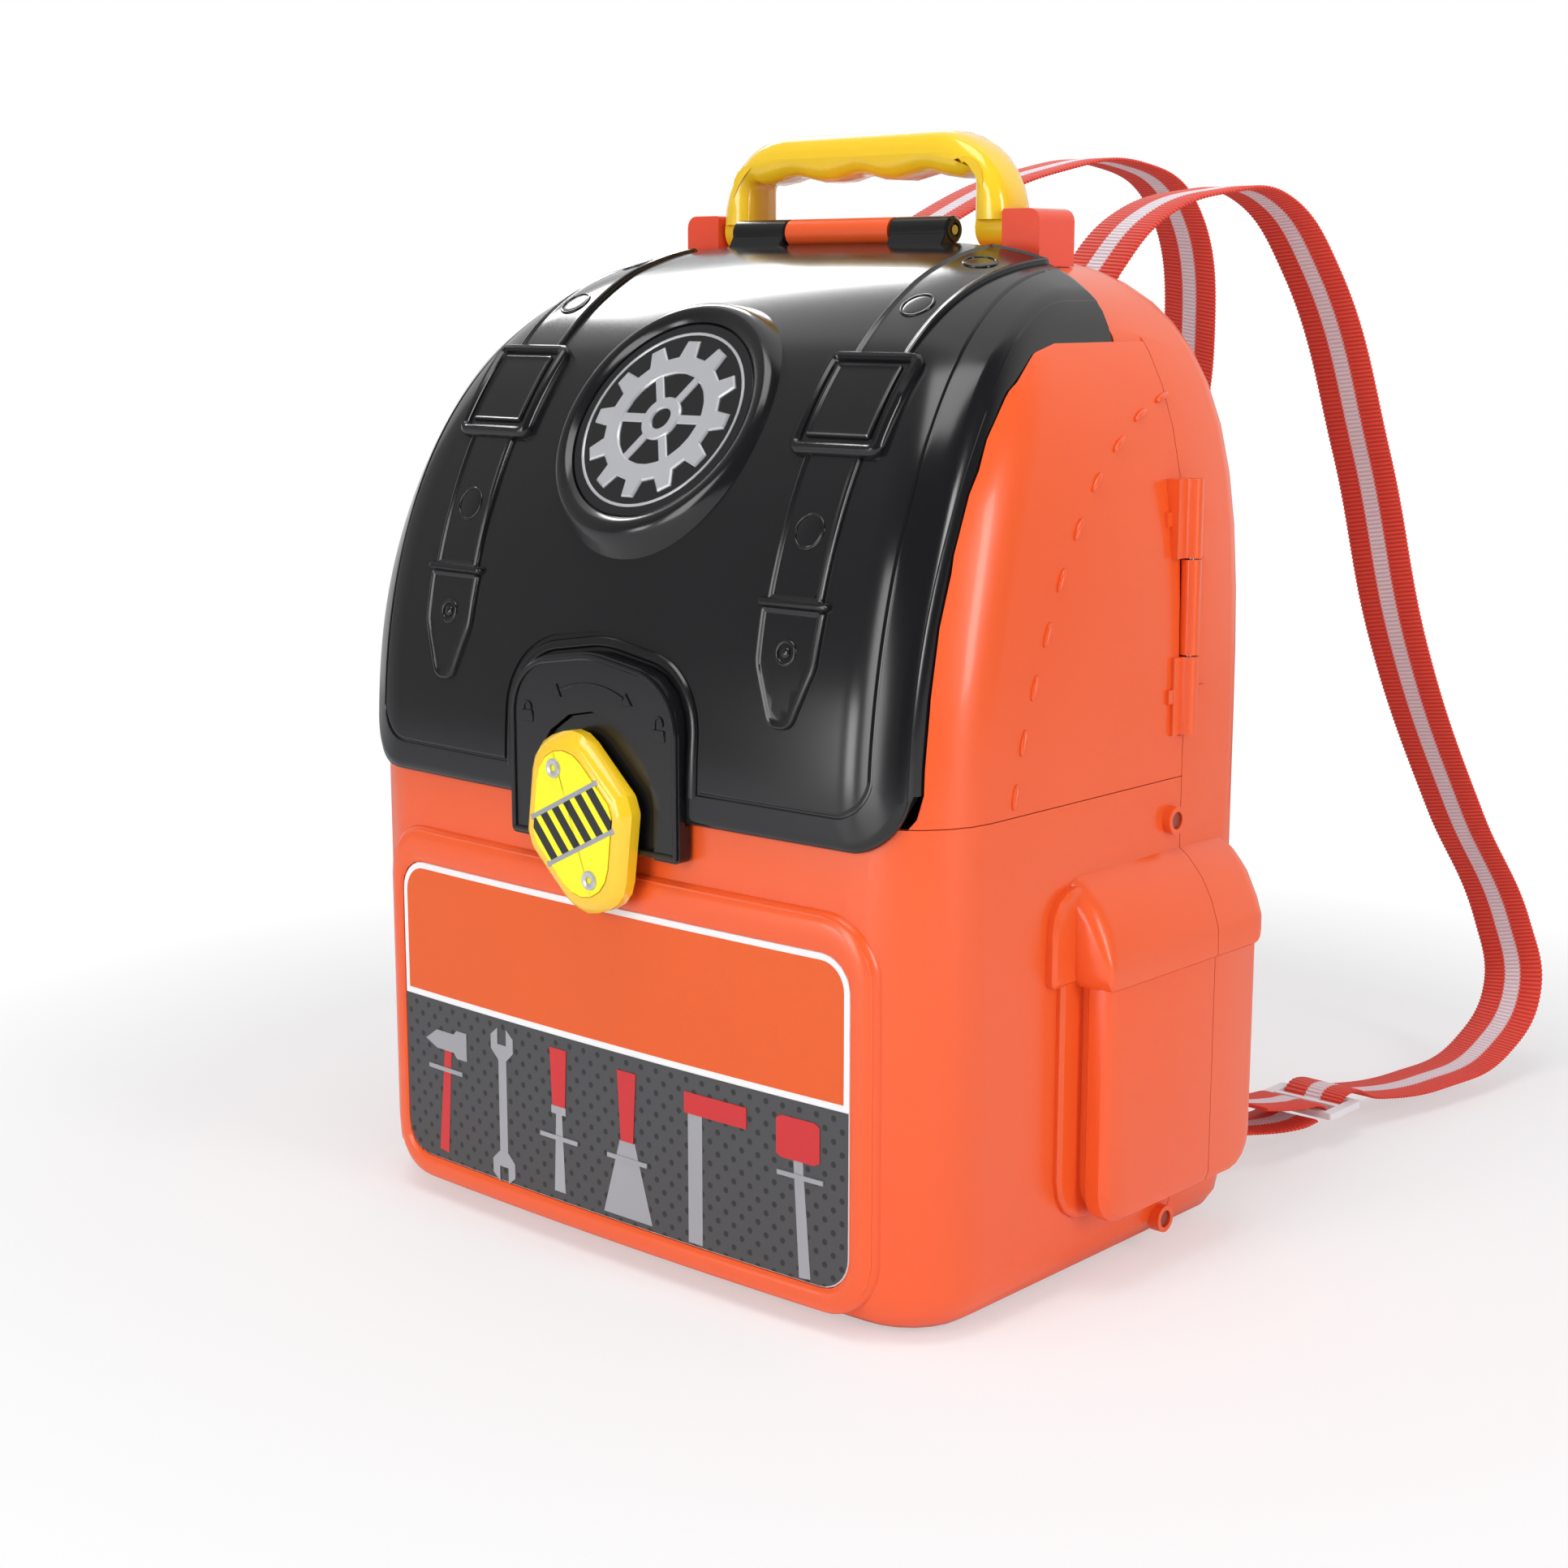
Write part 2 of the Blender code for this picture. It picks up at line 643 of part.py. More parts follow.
def crest_z(across):
    """The height of the case's crest at a distance from the middle plane."""
    share = (1.0 - (across / (CASE_WIDTH / 2)) ** SHOULDER_POWER) ** (1.0 / SHOULDER_POWER)
    return SHOULDER_Z + (CASE_HEIGHT - SHOULDER_Z) * min(share, CLIMB_SHARES[-1])


def door_axis_x():
    return CASE_WIDTH / 2 + DOOR_AXIS_OUT


def door_heights():
    """Where the side hinge's knuckles begin and end, from the lowest up."""
    span = DOOR_HINGE_HIGH_Z - DOOR_HINGE_LOW_Z
    return (DOOR_HINGE_LOW_Z, DOOR_HINGE_LOW_Z + span * DOOR_OUTER_SHARE,
            DOOR_HINGE_HIGH_Z - span * DOOR_OUTER_SHARE, DOOR_HINGE_HIGH_Z)


def door_wall_x(height):
    """The case's side wall at a height."""
    return case_reach(height, 0.0)[0]


def door_knuckle(name, side, low, high, towards):
    """A hinge barrel with its arm, on the door's side or the rear shell's side of the pin."""
    x = side * door_axis_x()
    barrel = rod(name, DOOR_KNUCKLE, (x, SEAM_Y, low), (x, SEAM_Y, high), SMALL_STEPS)
    inner = side * (door_wall_x(high) - DOOR_ARM_INNER)
    arm = block(name + "_arm", (min(x, inner), min(SEAM_Y, SEAM_Y + towards * DOOR_ARM), low),
                (max(x, inner), max(SEAM_Y, SEAM_Y + towards * DOOR_ARM), high))
    join(barrel, arm)
    return barrel


def hinge_lugs(name, side, towards):
    """The cross lugs beside the two outer knuckles, on the wall at one side of the pin."""
    low, first, second, high = door_heights()
    lugs = []
    for label, middle in (("low", (low + first) / 2), ("high", (second + high) / 2)):
        wall = door_wall_x(middle)
        near, far = sorted((side * (wall - WALL / 2), side * (wall + LUG_OUT)))
        start, finish = sorted((SEAM_Y + towards * (DOOR_KNUCKLE - GAP), SEAM_Y + towards * LUG_LONG))
        lugs.append(block(f"{name}_{label}", (near, start, middle - LUG_HALF_HEIGHT),
                          (far, finish, middle + LUG_HALF_HEIGHT)))
    return lugs


def make_rear_shell():
    """The back of the case, with the bridge that carries the lid's hinge and the handle."""
    reach = CASE_WIDTH
    region = block("rear_region", (-reach, SEAM_Y, -OVERRUN), (reach, CASE_REAR + OVERRUN,
                                                              CASE_HEIGHT + OVERRUN))
    bridge = slab("bridge_region", lid_outline(0.0), LID_REAR_Y + LID_GAP * 2, SEAM_Y + OVERRUN, in_front)
    cut(bridge, block("bridge_limit", (-reach, -OVERRUN, -OVERRUN),
                      (reach, CASE_REAR + OVERRUN, SHOULDER_Z + (CASE_HEIGHT - SHOULDER_Z) / 2)))
    join(region, bridge)
    shell = case_shell("rear_shell", region)

    for name, side in SIDES:
        x = side * door_axis_x()
        low, first, second, high = door_heights()
        join(shell, *hinge_lugs(f"rear_lug_{name}", side, 1))
        cut(shell, rod(f"rear_hinge_room_{name}", DOOR_KNUCKLE + GAP * 2, (x, SEAM_Y, low - GAP * 2),
                       (x, SEAM_Y, high + GAP * 2), SMALL_STEPS))
        join(shell, door_knuckle(f"rear_knuckle_{name}", side, first + GAP, second - GAP, 1))
        cut(shell, rod(f"rear_pin_room_{name}", DOOR_PIN_RADIUS + GAP, (x, SEAM_Y, low), (x, SEAM_Y, high),
                       SMALL_STEPS))

    middle = rod("middle_knuckle", HINGE_RADIUS, (-HINGE_MIDDLE, HINGE_Y, HINGE_Z),
                 (HINGE_MIDDLE, HINGE_Y, HINGE_Z))
    foot = block("middle_foot", (GAP - HINGE_MIDDLE, HINGE_Y, crest_z(0.0) - WALL / 2),
                 (HINGE_MIDDLE - GAP, LID_REAR_Y + HINGE_FOOT * 2, HINGE_Z + HINGE_RADIUS / 2))
    cut(foot, block("middle_foot_room", (-CASE_WIDTH, -CASE_FRONT, 0.0),
                    (CASE_WIDTH, LID_REAR_Y + LID_GAP * 2, HINGE_Z - HINGE_RADIUS / 2)))
    join(middle, foot)
    join(shell, middle)
    cut(shell, rod("middle_pin_room", HINGE_PIN_RADIUS + GAP, (-HINGE_END, HINGE_Y, HINGE_Z),
                   (HINGE_END, HINGE_Y, HINGE_Z), SMALL_STEPS))

    limits = tab_limits()
    half = STRAP_WIDTH / 2 + SLOT_MARGIN
    tall = STRAP_THICK / 2 + SLOT_MARGIN
    for name, side in SIDES:
        for level, height in BOSSES:
            join(shell, seam_tab(f"seam_tab_{level}_{name}", side, height, limits))
            cut(shell, screw_hole(f"rear_screw_room_{level}_{name}", side, height))
        for level, x, z in (("upper", ANCHOR_X, ANCHOR_Z), ("lower", LOWER_ANCHOR_X, LOWER_ANCHOR_Z)):
            cut(shell, block(f"strap_slot_{level}_{name}", (side * x - half, CREST_Y + OVERRUN, z - tall),
                             (side * x + half, CASE_REAR + OVERRUN, z + tall)))


def tab_limits():
    """The solids that bound the seam's tabs: their outer faces with the roots' step, and their inner faces."""
    outer = case_solid("tab_outer", WALL + GAP)
    root = case_solid("tab_root", WALL / 2)
    keep(root, block("tab_root_limit", (-CASE_WIDTH, SEAM_Y + GAP, 0.0), (CASE_WIDTH, CASE_REAR, CASE_HEIGHT)))
    join(outer, root)
    return outer, case_solid("tab_inner", WALL + GAP + TAB_THICK)


def seam_tab(name, side, height, limits):
    """A tongue of the rear shell behind the tub's wall, which takes the seam's screw."""
    near, far = sorted((side * (CASE_WIDTH / 2 - BASE_RADIUS), side * CASE_WIDTH))
    outer, inner = limits
    tongue = block(name, (near, BOSS_Y - TAB_FRONT, height - TAB_HALF_HEIGHT),
                   (far, SEAM_Y + TAB_FRONT, height + TAB_HALF_HEIGHT))
    keep(tongue, outer)
    cut(tongue, inner)
    return tongue


def screw_hole(name, side, height):
    """A hole for a seam screw, right through boss, wall and tab."""
    return rod(name, SCREW_RADIUS + GAP, (side * CASE_WIDTH / 3, BOSS_Y, height),
               (side * CASE_WIDTH, BOSS_Y, height), SMALL_STEPS)


def make_front_tub():
    """The lower front of the case, with the label's raised frame and the seam's bosses."""
    reach = CASE_WIDTH
    region = block("tub_region", (-reach, -CASE_FRONT - OVERRUN, -OVERRUN), (reach, SEAM_Y - GAP, SEAM_Z - GAP))
    tub = case_shell("front_tub", region)
    frame = rounded_box(-FRAME_HALF_WIDTH, FRAME_HALF_WIDTH, FRAME_LOW_Z, FRAME_HIGH_Z, FRAME_CORNER)
    join(tub, front_band("label_frame", frame, -FRAME_RISE, WALL / 2))
    recess = rounded_box(-LABEL_HALF_WIDTH - GAP, LABEL_HALF_WIDTH + GAP, LABEL_LOW_Z - GAP,
                         LABEL_HIGH_Z + GAP, LABEL_CORNER)
    cut(tub, front_band("label_recess", recess, -FRAME_RISE * 2, LABEL_RECESS - FRAME_RISE))
    wall = CASE_WIDTH / 2
    for name, side in SIDES:
        for level, height in BOSSES:
            join(tub, rod(f"boss_{level}_{name}", BOSS_RADIUS, (side * (wall - WALL / 2), BOSS_Y, height),
                          (side * (wall + BOSS_OUT), BOSS_Y, height)))
            cut(tub, screw_hole(f"tub_screw_room_{level}_{name}", side, height))
            cut(tub, rod(f"screw_head_room_{level}_{name}", SCREW_HEAD_RADIUS + GAP,
                         (side * (wall + BOSS_OUT - SCREW_SINK - SCREW_HEAD - GAP), BOSS_Y, height),
                         (side * (wall + BOSS_OUT + OVERRUN), BOSS_Y, height), SMALL_STEPS))
    cut(tub, rod("hub_room", HUB_RADIUS + GAP, (0.0, -LEG_FACE, LATCH_Z), (0.0, 0.0, LATCH_Z)))

    label = rounded_box(-LABEL_HALF_WIDTH, LABEL_HALF_WIDTH, LABEL_LOW_Z, LABEL_HIGH_Z, LABEL_CORNER)
    back = FRAME_RISE - LABEL_RECESS + GAP
    front_band("front_label", label, -back - LABEL_THICK, -back, PRINT)


def make_seam_screws():
    """Four screws hold the tub to the rear shell's tabs."""
    top = CASE_WIDTH / 2 + BOSS_OUT - SCREW_SINK
    length = BOSS_OUT - SCREW_SINK + WALL + TAB_THICK
    profile = ((0.0, length), (SCREW_HEAD_RADIUS, length), (SCREW_HEAD_RADIUS, length - SCREW_HEAD),
               (SCREW_RADIUS, length - SCREW_HEAD), (SCREW_RADIUS, SCREW_RADIUS), (0.0, 0.0))
    for name, side in SIDES:
        for level, height in BOSSES:
            turned(f"side_screw_{level}_{name}", profile, (side * (top - length), BOSS_Y, height),
                   (side, 0.0, 0.0), STEEL)


def make_doors():
    """Two side doors behind the lid, each on an upright pin at the side seam."""
    reach = CASE_WIDTH
    for name, side in SIDES:
        low_x, high_x = sorted((0.0, side * reach))
        region = block(f"door_region_{name}", (low_x, -CASE_FRONT - OVERRUN, SEAM_Z),
                       (high_x, SEAM_Y - GAP, CASE_HEIGHT + OVERRUN))
        cut(region, slab(f"door_mouth_{name}", lid_outline(LID_GAP), -CASE_FRONT - 2 * OVERRUN,
                         SEAM_Y + OVERRUN, in_front))
        door = case_solid(f"door_{name}", 0.0, ORANGE)
        cut(door, case_solid(f"door_{name}_inside", WALL))
        keep(door, region)
        x = side * door_axis_x()
        low, first, second, high = door_heights()
        join(door, *hinge_lugs(f"door_lug_{name}", side, -1))
        cut(door, rod(f"door_hinge_room_{name}", DOOR_KNUCKLE + GAP * 2, (x, SEAM_Y, low - GAP * 2),
                      (x, SEAM_Y, high + GAP * 2), SMALL_STEPS))
        join(door, door_knuckle(f"door_knuckle_low_{name}", side, low, first - GAP, -1))
        join(door, door_knuckle(f"door_knuckle_high_{name}", side, second + GAP, high, -1))
        cut(door, rod(f"door_pin_room_{name}", DOOR_PIN_RADIUS + GAP, (x, SEAM_Y, low - GAP),
                      (x, SEAM_Y, high + GAP), SMALL_STEPS))
        rod(f"side_hinge_pin_{name}", DOOR_PIN_RADIUS, (x, SEAM_Y, low), (x, SEAM_Y, high), SMALL_STEPS, STEEL)


def lid_surface(height):
    """The lid's front line in the middle plane at a height, and its outward direction there."""
    reach = [case_reach(height + lift, -LID_PROUD)[1] for lift in (-WALL, WALL)]
    along = Vector((0.0, reach[1] - reach[0], 2 * WALL)).normalized()
    return sum(reach) / 2, Vector((0.0, -along.z, along.y))


def belt_outline(side):
    """A belt from the hinge down to its pointed tip, with the step where its end is sewn."""
    half = BELT_WIDTH / 2
    wide = half + BELT_WIDER
    top = CASE_HEIGHT + OVERRUN
    half_outline = [(half, top), (half, BELT_STEP_Z), (wide, BELT_STEP_Z), (wide, BELT_TIP_Z + BELT_TIP),
                    (half / 2, BELT_TIP_Z)]
    middle = side * BELT_X
    right = [(middle + u, v) for u, v in half_outline]
    left = [(middle - u, v) for u, v in reversed(half_outline)]
    return right + left


def make_lid():
    """The domed lid: a shallow tray with a rim, belts, buckles, a badge ring and the latch's arch."""
    front = -CASE_FRONT - 3 * OVERRUN
    lid = case_solid("lid", -LID_PROUD, BLACK)
    cut(lid, case_solid("lid_under", LID_RIM_DEPTH))
    keep(lid, slab("lid_edge", lid_outline(0.0), front, LID_REAR_Y, in_front))
    hollow = case_solid("lid_hollow", LID_WALL - LID_PROUD)
    keep(hollow, slab("lid_hollow_edge", lid_outline(-LID_WALL), front, LID_REAR_Y - LID_WALL, in_front))
    cut(lid, hollow)
    over_tub = case_solid("lid_over_tub", -KNOB_GAP)
    keep(over_tub, block("lid_over_tub_limit", (-CASE_WIDTH, front, 0.0), (CASE_WIDTH, 0.0, SEAM_Z + KNOB_GAP)))
    cut(lid, over_tub)
    shoulder_limit = case_solid("lid_shoulder_limit", 0.0)
    for name, side in SIDES:
        near, far = sorted((side * LID_SHOULDER_X, side * CASE_WIDTH))
        shoulder_z = SEAM_Z + DOME * LID_SHOULDER_SHARE
        room = block(f"lid_shoulder_room_{name}", (near, front, shoulder_z), (far, CASE_REAR, CASE_HEIGHT))
        keep(room, shoulder_limit)
        cut(lid, room)

    inner = LID_WALL / 2 - LID_PROUD
    for name, side in SIDES:
        join(lid, front_band(f"belt_{name}", belt_outline(side), -LID_PROUD - BELT_RISE, inner))
        middle, half = side * BELT_X, BUCKLE_WIDTH / 2
        buckle = rounded_box(middle - half, middle + half, BUCKLE_LOW_Z, BUCKLE_HIGH_Z, BUCKLE_CORNER)
        join(lid, front_band(f"buckle_{name}", buckle, -LID_PROUD - BUCKLE_RISE, inner))
        panel = rounded_box(middle - half + BUCKLE_RIM, middle + half - BUCKLE_RIM, BUCKLE_LOW_Z + BUCKLE_RIM,
                            BUCKLE_HIGH_Z - BUCKLE_RIM, BUCKLE_CORNER / 2)
        cut(lid, front_band(f"buckle_panel_{name}", panel, -LID_PROUD - BUCKLE_RISE * 2,
                            BUCKLE_SINK - LID_PROUD - BUCKLE_RISE))

    surface_y, outward = lid_surface(BADGE_Z)
    centre = Vector((0.0, surface_y, BADGE_Z))
    join(lid, rod("badge_ring", BADGE_RADIUS, centre - outward * BADGE_SINK, centre + outward * BADGE_RISE,
                  2 * ROUND_STEPS))
    cut(lid, rod("badge_recess", BADGE_RADIUS - BADGE_RIM, centre + outward * (BADGE_RISE - BADGE_RECESS),
                 centre + outward * (BADGE_RISE + OVERRUN), 2 * ROUND_STEPS))
    floor = BADGE_RISE - BADGE_RECESS + GAP
    rod("badge_plate", BADGE_RADIUS - BADGE_RIM - GAP, centre + outward * floor,
        centre + outward * (floor + BADGE_PLATE), 2 * ROUND_STEPS, BLACK)
    under = case_solid("badge_under", LID_WALL - LID_PROUD)
    keep(under, rod("badge_under_limit", BADGE_RADIUS + GAP, centre - outward * (BADGE_SINK + OVERRUN),
                    centre, 2 * ROUND_STEPS))
    cut(lid, under)

    cut(lid, slab("arch_opening", arch_outline(ARCH_LAP), front, -ARCH_BACK + OVERRUN, in_front))
    make_latch_arch(front)

    middle_end = HINGE_MIDDLE + HINGE_SIDE_GAP
    cut(lid, rod("lid_middle_room", HINGE_RADIUS + GAP * 2, (-middle_end, HINGE_Y, HINGE_Z),
                 (middle_end, HINGE_Y, HINGE_Z)))
    for name, side in SIDES:
        start, finish = sorted((side * middle_end, side * HINGE_END))
        knuckle = rod(f"lid_knuckle_{name}", HINGE_RADIUS, (start, HINGE_Y, HINGE_Z), (finish, HINGE_Y, HINGE_Z))
        join(knuckle, block(f"lid_foot_{name}", (start + GAP, HINGE_Y - HINGE_FOOT, crest_z(0.0)),
                            (finish - GAP, LID_REAR_Y - GAP, HINGE_Z)))
        join(lid, knuckle)
    cut(lid, rod("lid_pin_room", HINGE_PIN_RADIUS + GAP, (-HINGE_END - OVERRUN, HINGE_Y, HINGE_Z),
                 (HINGE_END + OVERRUN, HINGE_Y, HINGE_Z), SMALL_STEPS))
    rod("lid_hinge_pin", HINGE_PIN_RADIUS, (-HINGE_END, HINGE_Y, HINGE_Z), (HINGE_END, HINGE_Y, HINGE_Z),
        SMALL_STEPS, STEEL)


def arch_outline(inset):
    """The latch arch and its two legs, seen from the front."""
    half, top = ARCH_HALF_WIDTH - inset, ARCH_TOP_Z - inset
    shoulder_z, low = top - ARCH_CROWN, LEG_LOW_Z + inset / 2
    corners = [(half, low, LEG_CORNER), (half, shoulder_z, ARCH_SHOULDER - inset),
               (0.0, top, ARCH_HALF_WIDTH), (-half, shoulder_z, ARCH_SHOULDER - inset),
               (-half, low, LEG_CORNER)]
    return fillet(corners)


def make_latch_arch(front):
    """The latch arch: its rim laps the lid, and its core fills the lid's opening."""
    arch = slab("latch_arch", arch_outline(0.0), -LEG_FACE, -LEG_BACK, in_front, BLACK)
    seat = case_solid("arch_seat", -LID_PROUD - GAP)
    keep(seat, block("arch_seat_limit", (-CASE_WIDTH, front, LID_LOW_Z - GAP), (CASE_WIDTH, CREST_Y, CASE_HEIGHT)))
    cut(arch, seat)
    join(arch, slab("arch_core", arch_outline(ARCH_LAP + GAP), -LEG_FACE + LID_WALL, -LEG_BACK - GAP, in_front))
    root = [(u, max(v, SEAM_Z + LID_WALL)) for u, v in arch_outline(ARCH_LAP + 2 * GAP)]
    root = [point for index, point in enumerate(root) if point != root[index - 1]]
    join(arch, slab("arch_root", root, -LEG_FACE + LID_WALL, -ARCH_BACK, in_front))
    cut(arch, slab("notch", notch_outline(0.0), front, -ARCH_BACK + OVERRUN, in_front))


def notch_outline(grow):
    """The opening between the legs, with its round head."""
    half = NOTCH_HALF_WIDTH + grow
    head = []
    for step in range(2 * ARC_STEPS + 1):
        angle = math.pi * step / (2 * ARC_STEPS)
        head.append((half * math.cos(angle), NOTCH_ROUND_Z + half * math.sin(angle)))
    return [(-half, LEG_LOW_Z - OVERRUN), (half, LEG_LOW_Z - OVERRUN)] + head


def knob_back():
    return LEG_FACE + KNOB_GAP


def knob_outline(inset):
    """A long hexagon with round corners, standing upright."""
    long, wide = KNOB_LONG - inset, KNOB_WIDE - inset
    flat, flank = KNOB_FLAT - inset / 2, KNOB_FLANK - inset / 2
    corners = [(flat, -long), (wide, -flank / 4), (wide, flank / 4), (flat, long), (-flat, long),
               (-wide, flank / 4), (-wide, -flank / 4), (-flat, -long)]
    return fillet([(u, v, KNOB_CORNER * (2 if abs(u) < wide else KNOB_SIDE_CORNER_SHARE)) for u, v in corners], 3)


def on_knob(u, v, depth):
    """A place on the knob, which is turned by its tilt about its spindle."""
    across = u * math.cos(KNOB_TILT) - v * math.sin(KNOB_TILT)
    up = u * math.sin(KNOB_TILT) + v * math.cos(KNOB_TILT)
    return Vector((across, -depth, LATCH_Z + up))


def make_latch():
    """The plate behind the notch, and the knob with its hub, washer and spindle."""
    plate_low = [(-1, PLATE_LOW_Z), (1, PLATE_LOW_Z)]
    half = NOTCH_HALF_WIDTH - PLATE_GAP
    outline = [(share * half, v) for share, v in plate_low] + notch_outline(-PLATE_GAP)[2:]
    plate = slab("latch_plate", outline, -PLATE_FACE, -CASE_FRONT - GAP, in_front, BLACK)
    join(plate, rod("latch_boss", PLATE_BOSS_RADIUS, (0.0, -knob_back() + GAP, LATCH_Z),
                    (0.0, -CASE_FRONT - GAP * 2, LATCH_Z)))
    cut(plate, rod("plate_hub_room", HUB_RADIUS + GAP, (0.0, -LEG_FACE - OVERRUN, LATCH_Z), (0.0, 0.0, LATCH_Z)))

    back, face = knob_back(), knob_back() + KNOB_THICK
    levels = ((back, KNOB_CHAMFER / 3), (back + KNOB_CHAMFER / 3, 0.0), (face - KNOB_CHAMFER, 0.0),
              (face - KNOB_CHAMFER / 4, KNOB_CHAMFER / 2), (face, KNOB_CHAMFER))
    rings = [[on_knob(u, v, depth) for u, v in knob_outline(inset)] for depth, inset in levels]
    knob = loft("knob", rings, YELLOW)
    inside = CASE_FRONT - WALL
    join(knob, rod("knob_hub", HUB_RADIUS, (0.0, -back - KNOB_CHAMFER, LATCH_Z), (0.0, -inside + HUB_END, LATCH_Z)))
    cut(knob, rod("knob_bore", HUB_BORE, (0.0, -back - KNOB_THICK / 2, LATCH_Z), (0.0, 0.0, LATCH_Z), SMALL_STEPS))
    sticker_room = [on_knob(u, v, face + OVERRUN) for u, v in knob_outline(STICKER_INSET - GAP)]
    sticker_back = [on_knob(u, v, face - STICKER_THICK) for u, v in knob_outline(STICKER_INSET - GAP)]
    cut(knob, loft("sticker_room", [sticker_back, sticker_room]))
    depths = (face - STICKER_THICK + GAP, face + GAP)
    loft("knob_sticker", [[on_knob(u, v, depth) for u, v in knob_outline(STICKER_INSET)] for depth in depths],
         YELLOW)

    washer_y = -inside + HUB_END + GAP
    washer = rod("knob_washer", WASHER_RADIUS, (0.0, washer_y, LATCH_Z), (0.0, washer_y + WASHER_THICK, LATCH_Z),
                 ROUND_STEPS, STEEL)
    cut(washer, rod("washer_bore", HUB_BORE, (0.0, washer_y - OVERRUN, LATCH_Z), (0.0, 0.0, LATCH_Z), SMALL_STEPS))
    under_head = washer_y + WASHER_THICK + GAP
    length = under_head + back + KNOB_THICK / 2 - GAP
    profile = ((0.0, length + SPINDLE_HEAD), (SPINDLE_HEAD_RADIUS, length + SPINDLE_HEAD),
               (SPINDLE_HEAD_RADIUS, length), (SPINDLE_RADIUS, length), (SPINDLE_RADIUS, 0.0), (0.0, 0.0))
    turned("knob_spindle", profile, (0.0, under_head - length, LATCH_Z), (0.0, 1.0, 0.0), STEEL)


def handle_outline():
    """The handle seen from the front: a broad bow with a finger wave under its grip."""
    half, leg = HANDLE_HALF_WIDTH, HANDLE_LEG
    edge = HANDLE_EDGE
    outer = fillet([(half - edge, HANDLE_PIN_Z, 0.0), (half - edge, HANDLE_TOP_Z - edge, HANDLE_SHOULDER),
                    (-half + edge, HANDLE_TOP_Z - edge, HANDLE_SHOULDER), (-half + edge, HANDLE_PIN_Z, 0.0)],
                   2 * ARC_STEPS)
    inner_half = half - leg + edge
    under = HANDLE_TOP_Z - HANDLE_GRIP + edge
    bend = HANDLE_SHOULDER / 3
    wave = []
    for step in range(2 * ROUND_STEPS // 3 + 1):
        share = 1.0 - 2.0 * step / (2 * ROUND_STEPS // 3)
        across = (inner_half - HANDLE_WAVE_MARGIN) * share
        wave.append((across, under + HANDLE_WAVE * math.cos(3 * math.pi * share)))
    left = fillet([(-inner_half, HANDLE_PIN_Z, 0.0), (-inner_half, under, bend), (0.0, under, 0.0)], ARC_STEPS)[:-1]
    right = [Vector((-u, v)) for u, v in reversed(left)]
    return outer + list(left) + list(reversed(wave)) + list(right)


def flat_curve(name, outline, thick, edge, steps):
    """A flat outline with round edges, facing the front, as a mesh in bmesh form."""
    curve = bpy.data.curves.new(name, "CURVE")
    curve.dimensions = "2D"
    curve.fill_mode = "BOTH"
    curve.extrude = thick / 2 - edge
    curve.bevel_depth = edge
    curve.bevel_resolution = steps
    line = curve.splines.new("POLY")
    line.points.add(len(outline) - 1)
    for point, (u, v) in zip(line.points, outline):
        point.co = (u, v, 0.0, 1.0)
    line.use_cyclic_u = True
    item = bpy.data.objects.new(name + "_curve", curve)
    item.rotation_euler = (math.pi / 2, 0.0, 0.0)
    helpers.objects.link(item)
    bpy.context.view_layer.update()
    mesh = bpy.data.meshes.new_from_object(item.evaluated_get(bpy.context.evaluated_depsgraph_get()))
    mesh.transform(item.matrix_world)
    bpy.data.objects.remove(item)
    shape = bmesh.new()
    shape.from_mesh(mesh)
    bmesh.ops.remove_doubles(shape, verts=shape.verts, dist=GAP / 10)
    return shape


def make_handle():
    """The carrying handle with its pins and the two brackets on the bridge."""
    shape = flat_curve("handle", handle_outline(), HANDLE_DEPTH, HANDLE_EDGE, 2)
    bmesh.ops.translate(shape, verts=shape.verts, vec=(0.0, HANDLE_Y, 0.0))
    handle = add_solid("handle", shape, YELLOW)
    foot_low = HANDLE_PIN_Z + HANDLE_LUG_RADIUS / 3
    foot_cut = block("handle_foot_cut", (-CASE_WIDTH, -CASE_FRONT, CASE_HEIGHT - OVERRUN),
                     (CASE_WIDTH, CASE_REAR, foot_low))
    combine(handle, foot_cut, "DIFFERENCE", "MANIFOLD")
    for name, side in SIDES:
        inner, outer = side * (HANDLE_HALF_WIDTH - HANDLE_LEG), side * HANDLE_HALF_WIDTH
        axis = (HANDLE_Y, HANDLE_PIN_Z)
        join(handle, rod(f"handle_lug_{name}", HANDLE_LUG_RADIUS, (inner + side * GAP, *axis),
                         (outer - side * GAP, *axis)))
        cut(handle, rod(f"handle_pin_room_{name}", HANDLE_PIN_RADIUS + GAP, (inner - side * OVERRUN, *axis),
                        (outer + side * OVERRUN, *axis), SMALL_STEPS))
        near = HANDLE_HALF_WIDTH + BRACKET_GAP
        far = near + BRACKET_WIDTH
        rod(f"handle_pin_{name}", HANDLE_PIN_RADIUS, (inner, *axis), (side * (near + far) / 2, *axis),
            SMALL_STEPS, STEEL)
        low = BRACKET_TOP_Z - BRACKET_SUNK
        outline = fillet([(near, low, 0.0), (far, low, 0.0), (far, BRACKET_TOP_Z, BRACKET_CORNER),
                          (near, BRACKET_TOP_Z, BRACKET_CORNER / 4)])
        if side < 0:
            outline = mirrored(outline)
        bracket = slab(f"handle_bracket_{name}", outline, HANDLE_Y - BRACKET_DEPTH / 2,
                       HANDLE_Y + BRACKET_DEPTH / 2, in_front, RED)
        cut(bracket, case_solid(f"bracket_seat_{name}", -GAP))
        cut(bracket, rod(f"bracket_pin_room_{name}", HANDLE_PIN_RADIUS + GAP, (side * near - side * OVERRUN, *axis),
                         (side * ((near + far) / 2 + GAP), *axis), SMALL_STEPS))


